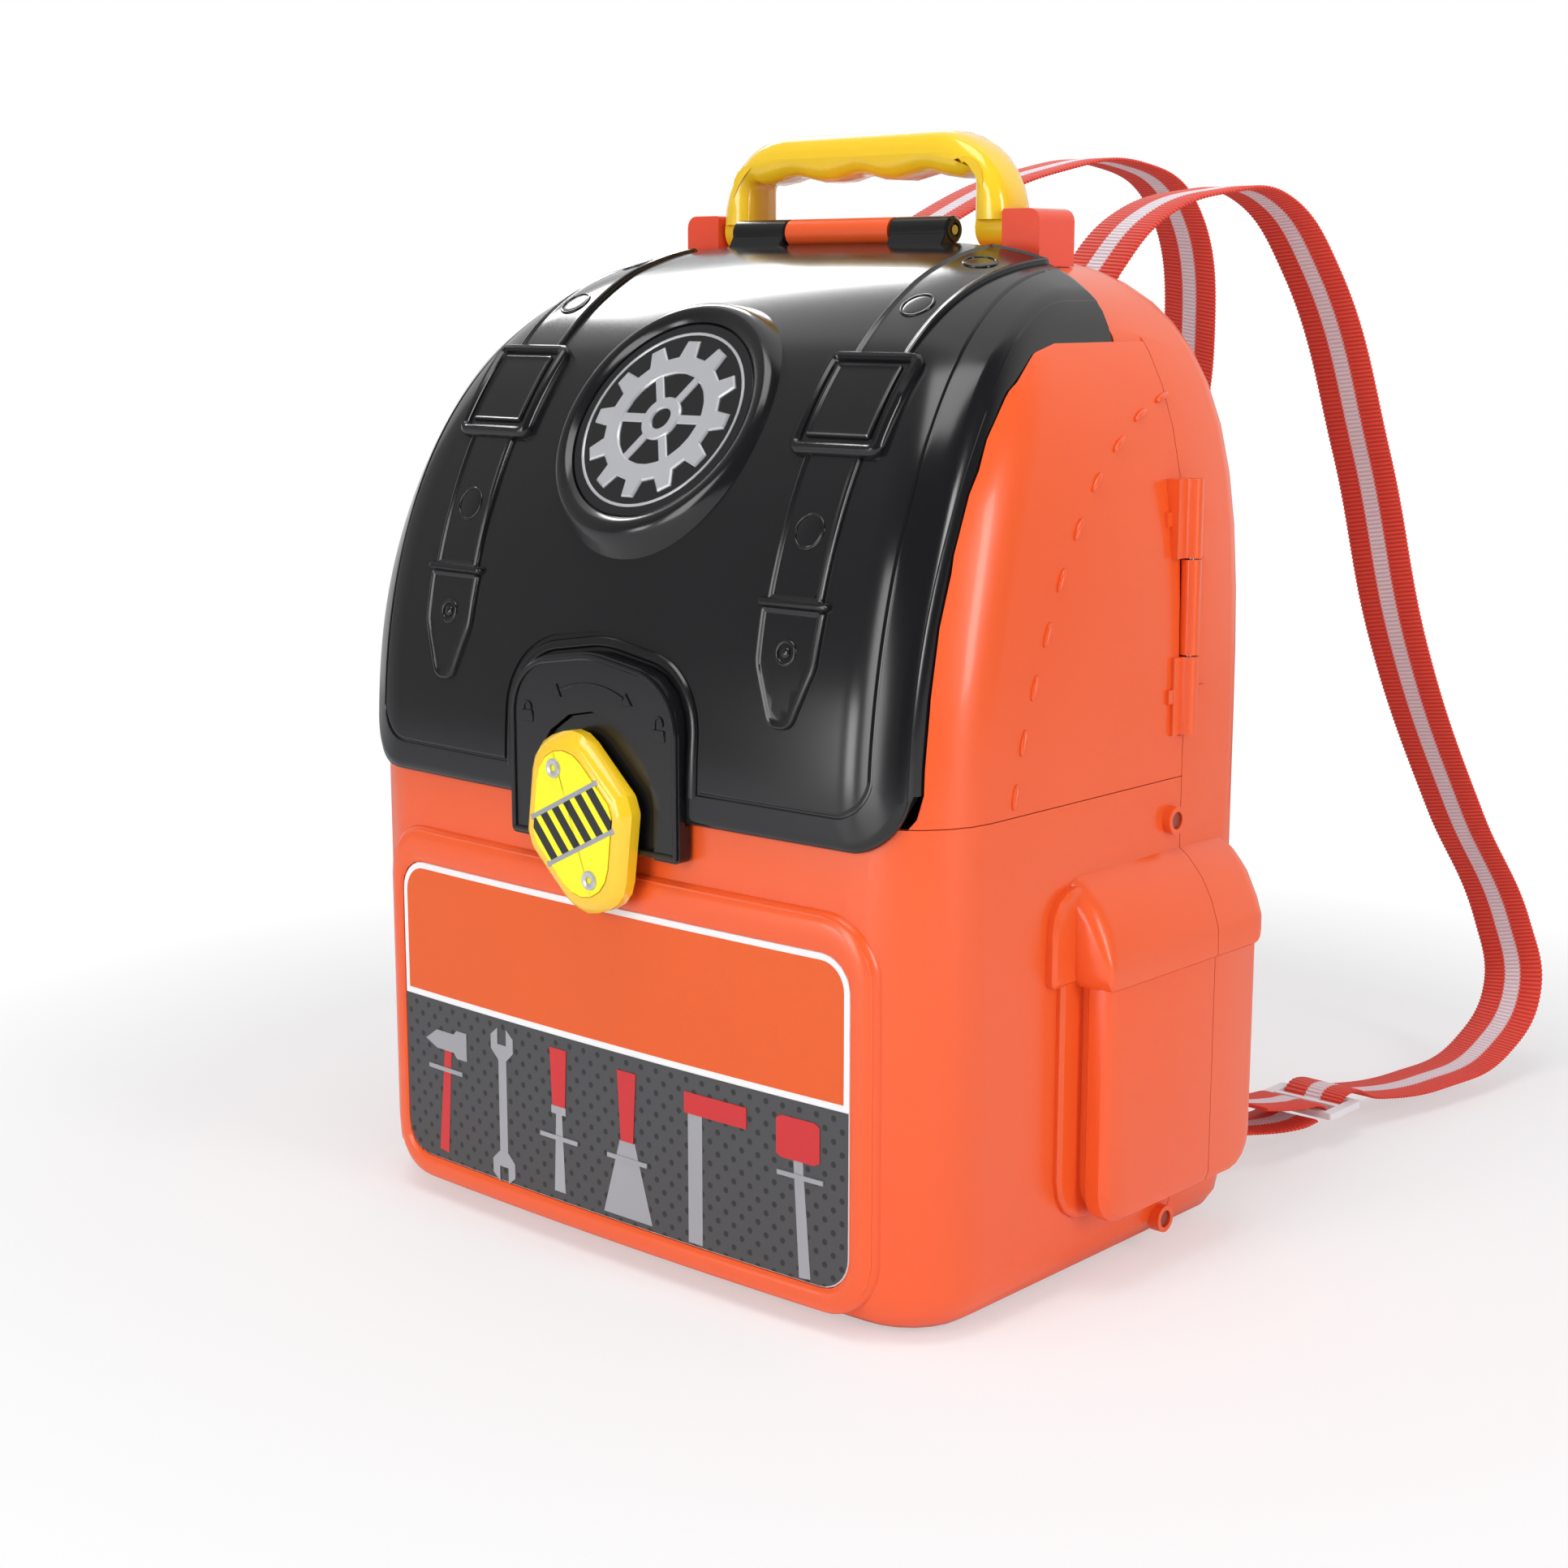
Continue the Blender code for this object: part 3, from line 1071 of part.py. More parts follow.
# Each strap's centre line as (across, back, up), hand-laid from its slot to its slider.
RIGHT_STRAP = ((0.050, 0.0680, 0.3000), (0.050, 0.0800, 0.3000), (0.0505, 0.0920, 0.3040), (0.052, 0.1030, 0.3180),
               (0.055, 0.1250, 0.3360), (0.061, 0.1560, 0.3450), (0.066, 0.1860, 0.3440),
               (0.071, 0.2150, 0.3180), (0.080, 0.2420, 0.2500), (0.092, 0.2560, 0.1760),
               (0.104, 0.2860, 0.1070), (0.116, 0.3080, 0.0600), (0.122, 0.3080, 0.0330),
               (0.121, 0.2860, 0.0130), (0.116, 0.2450, 0.0075), (0.108, 0.2080, 0.0100))
LEFT_STRAP = ((-0.050, 0.0680, 0.3000), (-0.050, 0.0800, 0.3000), (-0.050, 0.0920, 0.3040), (-0.048, 0.1040, 0.3180),
              (-0.042, 0.1400, 0.3400), (-0.033, 0.1850, 0.3560), (-0.027, 0.2300, 0.3600),
              (-0.026, 0.2680, 0.3450), (-0.034, 0.2960, 0.2900), (-0.055, 0.3080, 0.2200),
              (-0.080, 0.3120, 0.1500), (-0.102, 0.3120, 0.0900), (-0.117, 0.3060, 0.0450),
              (-0.120, 0.2840, 0.0150), (-0.116, 0.2450, 0.0075), (-0.108, 0.2080, 0.0100))


def smooth_line(points):
    """A smooth curve through hand-chosen points, with as many steps between any two."""
    curve = bpy.data.curves.new("route", "CURVE")
    curve.dimensions = "3D"
    curve.resolution_u = STRAP_STEPS
    line = curve.splines.new("BEZIER")
    line.bezier_points.add(len(points) - 1)
    for knot, place in zip(line.bezier_points, points):
        knot.co = place
        knot.handle_left_type = "AUTO"
        knot.handle_right_type = "AUTO"
    item = bpy.data.objects.new("route", curve)
    helpers.objects.link(item)
    bpy.context.view_layer.update()
    mesh = bpy.data.meshes.new_from_object(item.evaluated_get(bpy.context.evaluated_depsgraph_get()))
    bpy.data.objects.remove(item)
    return [corner.co.copy() for corner in mesh.vertices]


def webbing(name, points):
    """Flat webbing along a line, its width held level across."""
    rings = []
    for index, place in enumerate(points):
        before, after = points[max(index - 1, 0)], points[min(index + 1, len(points) - 1)]
        along = (after - before).normalized()
        flat = Vector((1.0, 0.0, 0.0))
        flat = (flat - along * flat.dot(along)).normalized() * STRAP_WIDTH / 2
        up = along.cross(flat).normalized() * STRAP_THICK / 2
        rings.append([place - flat - up, place + flat - up, place + flat + up, place - flat + up])
    return loft(name, rings, WEBBING)


def slider_course(side):
    """The strap's run over, under and over the slider's three bars, and its free tail."""
    x = side * (LOWER_ANCHOR_X + STRAP_WIDTH / 2)
    pitch = SLIDER_BAR + SLIDER_SLOT
    over = SLIDER_THICK / 2 + GAP + STRAP_THICK / 2
    return [Vector((x, SLIDER_Y + pitch * run, SLIDER_Z + over * lift)) for run, lift in WEAVE_SHARES]


def fitted(value, laid_low, laid_high, low, high):
    """A laid value carried from its own span to the part's."""
    return low + (value - laid_low) * (high - low) / (laid_high - laid_low)


def strap_route(route, side):
    """A hand-laid route carried to the case's slot and the slider."""
    slot = (ANCHOR_X, CASE_REAR - SLOT_BACK, ANCHOR_Z)
    slider = (LOWER_ANCHOR_X + STRAP_WIDTH / 2, SLIDER_Y, SLIDER_Z)
    fitted_route = []
    for x, y, z in route:
        place = [fitted(*values) for values in zip((side * x, y, z), LAID_SLOT, LAID_SLIDER, slot, slider)]
        fitted_route.append(Vector((side * place[0], place[1], place[2])))
    return fitted_route


def make_straps():
    """Webbing from the upper slots to the sliders, and from there to the lower slots."""
    pitch = SLIDER_BAR + SLIDER_SLOT
    over = SLIDER_THICK / 2 + GAP + STRAP_THICK / 2
    for name, side, route in (("left", -1, LEFT_STRAP), ("right", 1, RIGHT_STRAP)):
        course = strap_route(route, side) + slider_course(side)
        webbing(f"strap_{name}", smooth_line(course))

        x = side * (LOWER_ANCHOR_X + STRAP_WIDTH / 2)
        anchor = side * LOWER_ANCHOR_X
        inside = CASE_REAR - WALL - STRAP_TAIL
        lower = [Vector((anchor, inside, LOWER_ANCHOR_Z)), Vector((anchor, CASE_REAR, LOWER_ANCHOR_Z)),
                 Vector(((anchor + x) / 2, (CASE_REAR + SLIDER_Y) / 2, SLIDER_Z))]
        lower += [Vector((x, SLIDER_Y + pitch * run, SLIDER_Z - over)) for run in LOWER_WEAVE_SHARES]
        webbing(f"strap_lower_{name}", smooth_line(lower))
        make_slider(name, x)
        make_clip(f"strap_clip_upper_{name}", side * ANCHOR_X, ANCHOR_Z, case_reach(ANCHOR_Z, WALL)[2])
        make_clip(f"strap_clip_lower_{name}", anchor, LOWER_ANCHOR_Z, CASE_REAR - WALL + CLIP_SETBACK - GAP)


def make_slider(name, x):
    """A flat plastic adjuster with three bars."""
    half = (3 * SLIDER_BAR + 2 * SLIDER_SLOT) / 2
    outline = rounded_box(x - SLIDER_WIDTH / 2, x + SLIDER_WIDTH / 2, SLIDER_Y - half, SLIDER_Y + half, SLIDER_BAR / 2)
    slider = slab(f"slider_{name}", outline, SLIDER_Z - SLIDER_THICK / 2, SLIDER_Z + SLIDER_THICK / 2, in_plan, WHITE)
    slot_half = STRAP_WIDTH / 2 + SLIDER_SIDE_GAP
    for label, side in (("front", -1), ("rear", 1)):
        near, far = sorted((side * SLIDER_BAR / 2, side * (SLIDER_BAR / 2 + SLIDER_SLOT)))
        cut(slider, block(f"slider_slot_{name}_{label}", (x - slot_half, SLIDER_Y + near, SLIDER_Z - SLIDER_THICK),
                          (x + slot_half, SLIDER_Y + far, SLIDER_Z + SLIDER_THICK)))


def make_clip(name, x, z, wall_y):
    """A clip inside the back wall that holds a strap's end."""
    rear = wall_y - CLIP_SETBACK
    clip = block(name, (x - CLIP_WIDTH / 2, rear - CLIP_DEPTH, z - CLIP_HEIGHT / 2),
                 (x + CLIP_WIDTH / 2, rear, z + CLIP_HEIGHT / 2), BLACK)
    half = STRAP_WIDTH / 2 + GAP
    tall = STRAP_THICK / 2 + GAP * 2
    cut(clip, block(name + "_slot", (x - half, rear - CLIP_DEPTH - OVERRUN, z - tall), (x + half, rear + OVERRUN, z + tall)))


clear_scene()
make_rear_shell()
make_front_tub()
make_seam_screws()
make_doors()
make_lid()
make_latch()
make_handle()
make_straps()
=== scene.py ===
import math
from functools import partial

import bmesh
import bpy
import numpy as np
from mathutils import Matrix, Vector


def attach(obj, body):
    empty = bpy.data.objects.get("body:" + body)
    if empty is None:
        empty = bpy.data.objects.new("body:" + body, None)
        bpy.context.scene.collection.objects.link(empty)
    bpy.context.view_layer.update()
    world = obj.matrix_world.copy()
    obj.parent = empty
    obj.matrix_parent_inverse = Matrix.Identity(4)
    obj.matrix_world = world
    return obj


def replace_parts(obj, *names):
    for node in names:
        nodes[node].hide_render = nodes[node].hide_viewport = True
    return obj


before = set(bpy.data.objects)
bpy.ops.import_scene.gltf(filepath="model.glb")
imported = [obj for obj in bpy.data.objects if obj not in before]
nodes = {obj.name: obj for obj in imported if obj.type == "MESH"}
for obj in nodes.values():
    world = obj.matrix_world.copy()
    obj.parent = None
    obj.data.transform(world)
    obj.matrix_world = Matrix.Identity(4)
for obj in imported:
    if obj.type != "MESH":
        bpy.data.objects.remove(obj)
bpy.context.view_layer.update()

scene = bpy.context.scene
SIDES = (("left", -1), ("right", 1))
GAP = 0.0003

# Case
CASE_WIDTH = 0.257
CASE_HEIGHT = 0.324
CASE_FRONT = 0.083
CASE_REAR = 0.088
CREST_Y = 0.050
SHOULDER_Z = 0.155
FRONT_RISE_Z = 0.150
SHOULDER_POWER = 4.0
FRONT_POWER = 2.2
FRONT_CROWN = 0.004
FRONT_CORNER = 0.030
CORNER_ROOM_SHARE = 0.9
SEAM_Z = 0.158
STITCH_LENGTH = 0.0080
STITCH_WIDTH = 0.0022
STITCH_PROUD = 0.0002
STITCH_ROUTE = ((0.0470, 0.2779), (0.0329, 0.2730), (0.0184, 0.2647), (0.0040, 0.2540), (-0.0075, 0.2407),
                (-0.0172, 0.2263), (-0.0246, 0.2108), (-0.0310, 0.1956), (-0.0362, 0.1798), (-0.0397, 0.1640))

# Lid
LID_PROUD = 0.003
LID_WALL = 0.0022
LID_HALF_WIDTH = 0.119
LID_REACH = 0.190
LID_LOW_Z = 0.150
LID_CORNER = 0.018
LID_REAR_Y = 0.033
LID_BAND = 0.0102
LID_GROOVE = 0.0012
LID_PANEL_RISE = 0.0006
LID_PANEL_BACK = 0.006
LID_TUCK = 0.0008
SEAM_ROOM = 0.0008
LID_FOOT = -0.0024
SHOULDER_DROP = 0.0028
SHOULDER_X = 0.1060
SHOULDER_RUN = 0.0130
SHOULDER_LOW_Z = 0.190
SHOULDER_CLIMB = 0.095
BELT_X = 0.075
BELT_HALF = 0.0105
BELT_RISE = 0.0015
BELT_ROOT = -0.001
BELT_SOFT = 0.0010
BELT_CORNER = 0.0006
BELT_END = 0.0035
BELT_STEP_Z = 0.220
BELT_TIP_Z = 0.184
TONGUE_HALF = 0.0122
TONGUE_UNDER = 0.0008
TONGUE_CORNER = 0.002
TONGUE_NARROWING = 0.0006
TONGUE_TAPER = 0.0185
TONGUE_BEND = 0.014
TIP_HALF = 0.0042
TIP_OVER = 0.0004
TIP_CORNER = 0.0050
KEEPER_OVER = 0.0010
KEEPER_BELOW = 0.0016
KEEPER_ABOVE = 0.0014
KEEPER_CORNER = 0.0014
BUCKLE_HALF = 0.0175
BUCKLE_LOW_Z = 0.262
BUCKLE_HIGH_Z = 0.291
BUCKLE_CORNER = 0.0042
BUCKLE_INSET = 0.0052
PLATE_CORNER = 0.0014
PLATE_FOOT = 0.0008
PLATE_RISE = 0.0027
PLATE_SOFT = 0.0007
RIVET_HEIGHTS = (0.2407, 0.3052)
RIVET_BACK = 0.024
RIVET_SINK = 0.0007
SNAP_Z = 0.2060
BADGE_Z = 0.2705
BADGE_RADIUS = 0.042
BADGE_FACE_RADIUS = 0.0352
BADGE_LINE_RADIUS = 0.0318
GEAR_RADIUS = 0.0285
GEAR_TEETH = 12
GEAR_HOLE_SHARE = 0.58
HUB_RADIUS = 0.0078
SPOKES = 6
SPOKE_START = 0.0066
SPOKE_HALF = 0.0016
SPOKE_REACH_SHARE = 0.60

# Table of the lid's surface, and the grid of its patches
TABLE_PITCH = 0.001
TABLE_LENGTH = 360
TABLE_COLUMNS = 128
PROFILE_LOW = LID_LOW_Z - 0.004
PROFILE_STEPS = 150
PROFILE_OVERRUN = 0.03
COLUMN_COUNT = 132
PATCH_STEPS = 160
LEAST_CORNER = 0.002
EDGE_SHARE = 0.99996
ROW_SHARES = np.concatenate(([0.0, 0.0015, 0.0045, 0.0095], np.linspace(0.017, 0.985, 120),
                             [0.992, 0.9965, 0.999, 1.0]))

# Hinge of the lid
HINGE_Y = 0.0315
HINGE_Z = 0.330
HINGE_RADIUS = 0.0045
HINGE_PIN_RADIUS = 0.0017
HINGE_MIDDLE = 0.0231
HINGE_END = 0.0475
HINGE_SOFT = 0.0004

# Latch
LATCH_Z = 0.147
LEG_FACE = 0.0885
LEG_LOW_Z = 0.138
LEG_CORNER = 0.002
ARCH_HALF_WIDTH = 0.038
ARCH_TOP_Z = 0.2006
ARCH_SHOULDER = 0.020
ARCH_CROWN = 0.006
ARCH_ROOM = (-0.14, -0.060)
SHELL_ROOM = 0.003
RIM_ROOM = -0.0012
PANEL_ROOM = -0.0058
RIDGE_LEGS = 0.016
RIDGE_PITCH = 0.002
ARROW_Z = 0.1555
ARROW_RADIUS = 0.0345
ARROW_HALF = 0.0005
ARROW_SPREAD = 25
ARROW_LONG = 0.0040
ARROW_WIDE = 0.0023
PADLOCK_AT = (0.0295, 0.1800)
PADLOCK_HALF = 0.0026
PADLOCK_LOW = 0.0048
PADLOCK_HIGH = 0.0010
PADLOCK_LIFT = 0.0012
HOOP_OUTER = 0.0021
HOOP_INNER = 0.0013
KNOB_FACE = 0.0975
KNOB_TILT = math.radians(20)
BAR_SLANT = math.radians(6.7)
BAR_OFF = 0.0080
BAR_REACH = 0.0168
BAR_HALF = 0.0009
NUT_AT = (-0.0015, 0.0185)
STRIPE_PITCH = 0.0058
STRIPE_LEAN = 0.25

# Label
FRAME_HALF_WIDTH = 0.109
FRAME_LOW_Z = 0.0065
FRAME_HIGH_Z = 0.130
FRAME_CORNER = 0.018
LABEL_PROUD = 0.0012
LABEL_THICK = 0.0006
LABEL_HALF_WIDTH = 0.1015
LABEL_LOW_Z = 0.0140
LABEL_HIGH_Z = 0.1186
LABEL_CORNER = 0.011
LABEL_BORDER = 0.0022
LABEL_MARGIN = 0.0002
BOARD_HIGH_Z = 0.0710
PRINT_STEP = 0.00012
PRINT_PITCH = 0.004
PEG_PITCH = 0.0066
PEG_ROW_PITCH = 0.0036
PEG_HOLE = 0.0011
TOOL_MIDDLE_Z = 0.0425
TOOL_STRETCH = 1.12

# Straps
STRAP_WIDTH = 0.025
STRAP_THICK = 0.0014
RIB = 0.0016
RIB_RISE = 0.00008
SCALLOP = 0.00022
SLIDER_Y = 0.178
SLIDER_Z = 0.0125
SLIDER_X = 0.1045
SLIDER_BAR = 0.0026
SLIDER_SLOT = 0.0070
SLIDER_THICK = 0.0024
LOWER_ANCHOR = (0.092, 0.0745, 0.022)


# Finishes.

def node(tree, kind, inputs=(), **settings):
    """A node with its settings. Its inputs get values, or are linked to an output or a node's first one."""
    step = tree.nodes.new(kind)
    for key, value in settings.items():
        setattr(step, key, value)
    for key, value in dict(inputs).items():
        if isinstance(value, bpy.types.Node):
            value = value.outputs[0]
        if isinstance(value, bpy.types.NodeSocket):
            tree.links.new(value, step.inputs[key])
        else:
            step.inputs[key].default_value = value
    return step


def solid(colour):
    return (*colour, 1.0)


def new_material(name, colour, roughness, metallic=0.0, coat=0.0):
    """A Principled finish; returns the material, its tree and its shader."""
    finish = bpy.data.materials.new(name)
    finish.use_nodes = True
    shader = finish.node_tree.nodes["Principled BSDF"]
    for key, value in (("Base Color", solid(colour)), ("Roughness", roughness), ("Metallic", metallic),
                       ("Coat Weight", coat), ("Coat Roughness", 0.08)):
        shader.inputs[key].default_value = value
    return finish, finish.node_tree, shader


def place_on(tree):
    """The object's own coordinates."""
    return node(tree, "ShaderNodeTexCoord").outputs["Object"]


def axis_of(tree, letter):
    """One of the object's own coordinates."""
    return node(tree, "ShaderNodeSeparateXYZ", {"Vector": place_on(tree)}).outputs[letter]


def noise(tree, scale, detail):
    """A noise pattern in the object's own coordinates."""
    pattern = node(tree, "ShaderNodeTexNoise", {"Vector": place_on(tree), "Scale": scale, "Detail": detail})
    return pattern.outputs["Fac"]


def spread(tree, value, low, high, start=0.0, finish=1.0):
    """A value carried from one span to another."""
    return node(tree, "ShaderNodeMapRange", {"Value": value, "From Min": start, "From Max": finish,
                                             "To Min": low, "To Max": high}).outputs["Result"]


def maths(tree, operation, *values):
    """One step of arithmetic on values or outputs."""
    return node(tree, "ShaderNodeMath", enumerate(values), operation=operation).outputs[0]


def blended(tree, share, *colours):
    """Two colours mixed by a share."""
    step = node(tree, "ShaderNodeMix", data_type="RGBA")
    tree.links.new(share, next(socket for socket in step.inputs if socket.type == "VALUE"))
    for socket, colour in zip([socket for socket in step.inputs if socket.type == "RGBA"], colours):
        if isinstance(colour, tuple):
            socket.default_value = solid(colour)
        else:
            tree.links.new(colour, socket)
    return next(socket for socket in step.outputs if socket.type == "RGBA")


def coloured(tree, shader, share, *colours):
    """Gives a shader two colours mixed by a share."""
    tree.links.new(blended(tree, share, *colours), shader.inputs["Base Color"])


def gloss_plastic(name, colour, deep, roughness, metallic=0.0, coat=0.0):
    """Moulded plastic: slow colour drift and uneven gloss."""
    finish, tree, shader = new_material(name, colour, roughness, metallic, coat)
    drift, wear = noise(tree, 12.0, 1.0), noise(tree, 25.0, 0.0)
    coloured(tree, shader, drift, colour, deep)
    tree.links.new(spread(tree, wear, roughness * 0.96, roughness * 1.1), shader.inputs["Roughness"])
    return finish


def pegboard_finish():
    """Dark board with a staggered field of holes."""
    finish, tree, shader = new_material("pegboard", (0.026, 0.026, 0.028), 0.4)
    step = partial(maths, tree)
    across = step("DIVIDE", axis_of(tree, "X"), PEG_PITCH)
    up = step("DIVIDE", axis_of(tree, "Z"), PEG_ROW_PITCH)
    row = step("ROUND", up)
    shift = step("MULTIPLY", step("FLOORED_MODULO", row, 2.0), 0.5)
    off_x = step("MULTIPLY", step("PINGPONG", step("ADD", across, shift), 0.5), PEG_PITCH)
    off_z = step("MULTIPLY", step("ABSOLUTE", step("SUBTRACT", up, row)), PEG_ROW_PITCH)
    far = step("SQRT", step("ADD", step("POWER", off_x, 2.0), step("POWER", off_z, 2.0)))
    share = spread(tree, far, 1.0, 0.0, PEG_HOLE * 0.8, PEG_HOLE)
    coloured(tree, shader, share, (0.050, 0.050, 0.053), (0.008, 0.008, 0.009))
    return finish


def hazard_finish():
    """Plain black stripes on yellow between the two bars of the turned knob."""
    finish, tree, shader = new_material("hazard_stripes", (0.95, 0.85, 0.01), 0.3)
    step = partial(maths, tree)
    cos, sin = math.cos(KNOB_TILT + BAR_SLANT), math.sin(KNOB_TILT + BAR_SLANT)
    x, z = axis_of(tree, "X"), step("SUBTRACT", axis_of(tree, "Z"), LATCH_Z)
    along = step("ADD", step("MULTIPLY", x, cos), step("MULTIPLY", z, sin))
    up = step("SUBTRACT", step("MULTIPLY", z, cos), step("MULTIPLY", x, sin))
    slanted = step("ADD", along, step("MULTIPLY", up, STRIPE_LEAN))
    wave = step("PINGPONG", slanted, STRIPE_PITCH / 2)
    stripe = spread(tree, wave, 0.0, 1.0, STRIPE_PITCH * 0.20, STRIPE_PITCH * 0.22)
    band = spread(tree, step("ABSOLUTE", up), 1.0, 0.0, BAR_OFF - 0.0004, BAR_OFF - 0.0002)
    share = step("MULTIPLY", stripe, band)
    coloured(tree, shader, share, (0.95, 0.87, 0.01), (0.012, 0.012, 0.012))
    return finish


def webbing_colours():
    """Ribbed red webbing with a pale middle stripe, drawn on the strap's own map, with painted shade in the
    rib hollows and a painted highlight on the rib crests.
    """
    finish, tree, shader = new_material("strap_webbing", (0.80, 0.06, 0.03), 0.75)
    step = partial(maths, tree)
    weave = node(tree, "ShaderNodeUVMap", uv_map="weave").outputs["UV"]
    split = node(tree, "ShaderNodeSeparateXYZ", {"Vector": weave}).outputs
    ribs = step("SINE", step("MULTIPLY", split["Y"], 2 * math.pi / RIB))
    middle = step("ADD", step("ABSOLUTE", split["X"]), step("MULTIPLY", ribs, 0.0003))
    stripe = spread(tree, middle, 1.0, 0.0, 0.0031, 0.0034)
    # Painted shade and highlight: both colours darken in each rib's hollow and lighten on its crest.
    shade = spread(tree, ribs, 0.0, 1.0, -1.0, 1.0)
    red_with_painted_rib_shade = blended(tree, shade, (0.60, 0.030, 0.020), (0.86, 0.085, 0.045))
    pale = blended(tree, shade, (0.66, 0.56, 0.60), (0.90, 0.82, 0.86))
    coloured(tree, shader, stripe, red_with_painted_rib_shade, pale)
    relief = node(tree, "ShaderNodeBump", {"Strength": 0.5, "Distance": 0.0002, "Height": ribs})
    tree.links.new(relief.outputs["Normal"], shader.inputs["Normal"])
    return finish


orange = gloss_plastic("orange_shell", (0.86, 0.110, 0.020), (0.82, 0.096, 0.016), 0.29, coat=0.15)
red = gloss_plastic("red_orange_fitting", (0.85, 0.082, 0.034), (0.80, 0.070, 0.028), 0.245)
black = gloss_plastic("black_gloss", (0.0075, 0.0075, 0.0085), (0.011, 0.011, 0.012), 0.17)
yellow = gloss_plastic("yellow_handle", (0.94, 0.62, 0.020), (0.90, 0.54, 0.014), 0.22, coat=0.5)
steel = gloss_plastic("plated_steel", (0.62, 0.62, 0.63), (0.50, 0.50, 0.51), 0.29, metallic=1.0)
white = gloss_plastic("white_slider", (0.82, 0.80, 0.82), (0.76, 0.74, 0.76), 0.3)
label_orange = gloss_plastic("printed_label", (0.78, 0.100, 0.001), (0.75, 0.090, 0.001), 0.3)
label_white = gloss_plastic("label_white", (0.90, 0.89, 0.89), (0.86, 0.85, 0.85), 0.3)
tool_red = gloss_plastic("printed_red", (0.66, 0.018, 0.022), (0.52, 0.012, 0.016), 0.3)
tool_grey = gloss_plastic("printed_grey", (0.42, 0.42, 0.44), (0.27, 0.27, 0.29), 0.3)
silver = gloss_plastic("badge_silver", (0.70, 0.70, 0.72), (0.50, 0.50, 0.52), 0.245, metallic=0.5)
screw_red = gloss_plastic("sunk_screw", (0.34, 0.045, 0.022), (0.22, 0.028, 0.014), 0.35)
pegboard = pegboard_finish()
hazard = hazard_finish()
webbing = webbing_colours()

FINISH_OF = {
    "rear_shell": orange, "front_tub": orange, "handle": yellow, "knob": yellow, "knob_sticker": hazard,
    "latch_arch": black, "latch_plate": black, "badge_plate": black,
}
PAIR_FINISH_OF = {
    "door": orange, "handle_bracket": red, "slider": white, "strap_clip_upper": black,
    "strap_clip_lower": black, "side_screw_upper": screw_red, "side_screw_lower": screw_red,
}
for label, _ in SIDES:
    FINISH_OF.update({f"{start}_{label}": finish for start, finish in PAIR_FINISH_OF.items()})


def new_tree(name, sizes=(), finishes=()):
    """A Geometry Nodes tree with named inputs besides its geometry; returns it and what it is given."""
    tree = bpy.data.node_groups.new(name, "GeometryNodeTree")
    for kind, labels in (("Geometry", ("Geometry",)), ("Float", sizes), ("Material", finishes)):
        for label in labels:
            tree.interface.new_socket(label, in_out="INPUT", socket_type=f"NodeSocket{kind}")
    tree.interface.new_socket("Geometry", in_out="OUTPUT", socket_type="NodeSocketGeometry")
    return tree, node(tree, "NodeGroupInput").outputs


def smoothing_tree(limit):
    """Shades a mesh smooth, apart from edges sharper than the limit."""
    tree, given = new_tree("smooth_by_angle")
    angle = node(tree, "GeometryNodeInputMeshEdgeAngle").outputs["Unsigned Angle"]
    sharp = node(tree, "FunctionNodeCompare", {0: angle, 1: limit}, operation="GREATER_THAN")
    faces = node(tree, "GeometryNodeSetShadeSmooth", {"Geometry": given["Geometry"]}, domain="FACE")
    edges = node(tree, "GeometryNodeSetShadeSmooth", {"Geometry": faces, "Selection": sharp.outputs["Result"],
                                                      "Shade Smooth": False}, domain="EDGE")
    node(tree, "NodeGroupOutput", {"Geometry": edges})
    return tree


SMOOTHING = smoothing_tree(math.radians(32))


for name, item in nodes.items():
    item.data.materials.clear()
    item.data.materials.append(FINISH_OF.get(name, steel))
    item.modifiers.new("weld", "WELD").merge_threshold = 0.00002
    item.modifiers.new("smooth_by_angle", "NODES").node_group = SMOOTHING


# The case's surface.

def kept_share(height, start, top, power):
    """The share of its full reach that a wall keeps at a height."""
    climb = min(max((height - start) / (top - start), 0.0), 1.0)
    return (1.0 - climb ** power) ** (1.0 / power)


def front_y(across, height, proud):
    """Where the case's front lies at a distance from the middle plane and a height."""
    top = CASE_HEIGHT + proud
    side = kept_share(height, SHOULDER_Z, top, SHOULDER_POWER)
    lean = kept_share(height, FRONT_RISE_Z, top, FRONT_POWER)
    half = max((CASE_WIDTH / 2 + proud) * side, across)
    front = CREST_Y - (CREST_Y + CASE_FRONT + proud) * lean
    rear = CREST_Y + (CASE_REAR - CREST_Y + proud) * side
    fore = min(FRONT_CORNER + proud, min(half, (rear - front) / 2) * CORNER_ROOM_SHARE)
    if across <= half - fore:
        return front + FRONT_CROWN * (across / half) ** 2
    middle = front + FRONT_CROWN * (1.0 - fore / half) ** 2 + fore
    reach = min(across - half + fore, fore)
    return middle - math.sqrt(fore * fore - reach * reach)


def lid_profile(across):
    """The lid's outside at a distance from the middle plane, as back, up and length along it."""
    across = max(across, 0.0001)
    top = CASE_HEIGHT + LID_PROUD
    kept = (1.0 - (across / (CASE_WIDTH / 2 + LID_PROUD)) ** SHOULDER_POWER) ** (1.0 / SHOULDER_POWER)
    crest = SHOULDER_Z + (top - SHOULDER_Z) * kept
    heights = PROFILE_LOW + (crest - PROFILE_LOW) * np.sin(np.linspace(0.0, math.pi / 2, PROFILE_STEPS))
    backs = np.array([front_y(across, height, LID_PROUD) for height in heights])
    inside = backs < LID_REAR_Y
    backs, heights = list(backs[inside]), list(heights[inside])
    backs += [LID_REAR_Y, LID_REAR_Y + PROFILE_OVERRUN]
    heights += [heights[-1] if not inside.all() else crest] * 2
    lengths = np.concatenate(([0.0], np.cumsum(np.hypot(np.diff(backs), np.diff(heights)))))
    return np.array(backs), np.array(heights), lengths


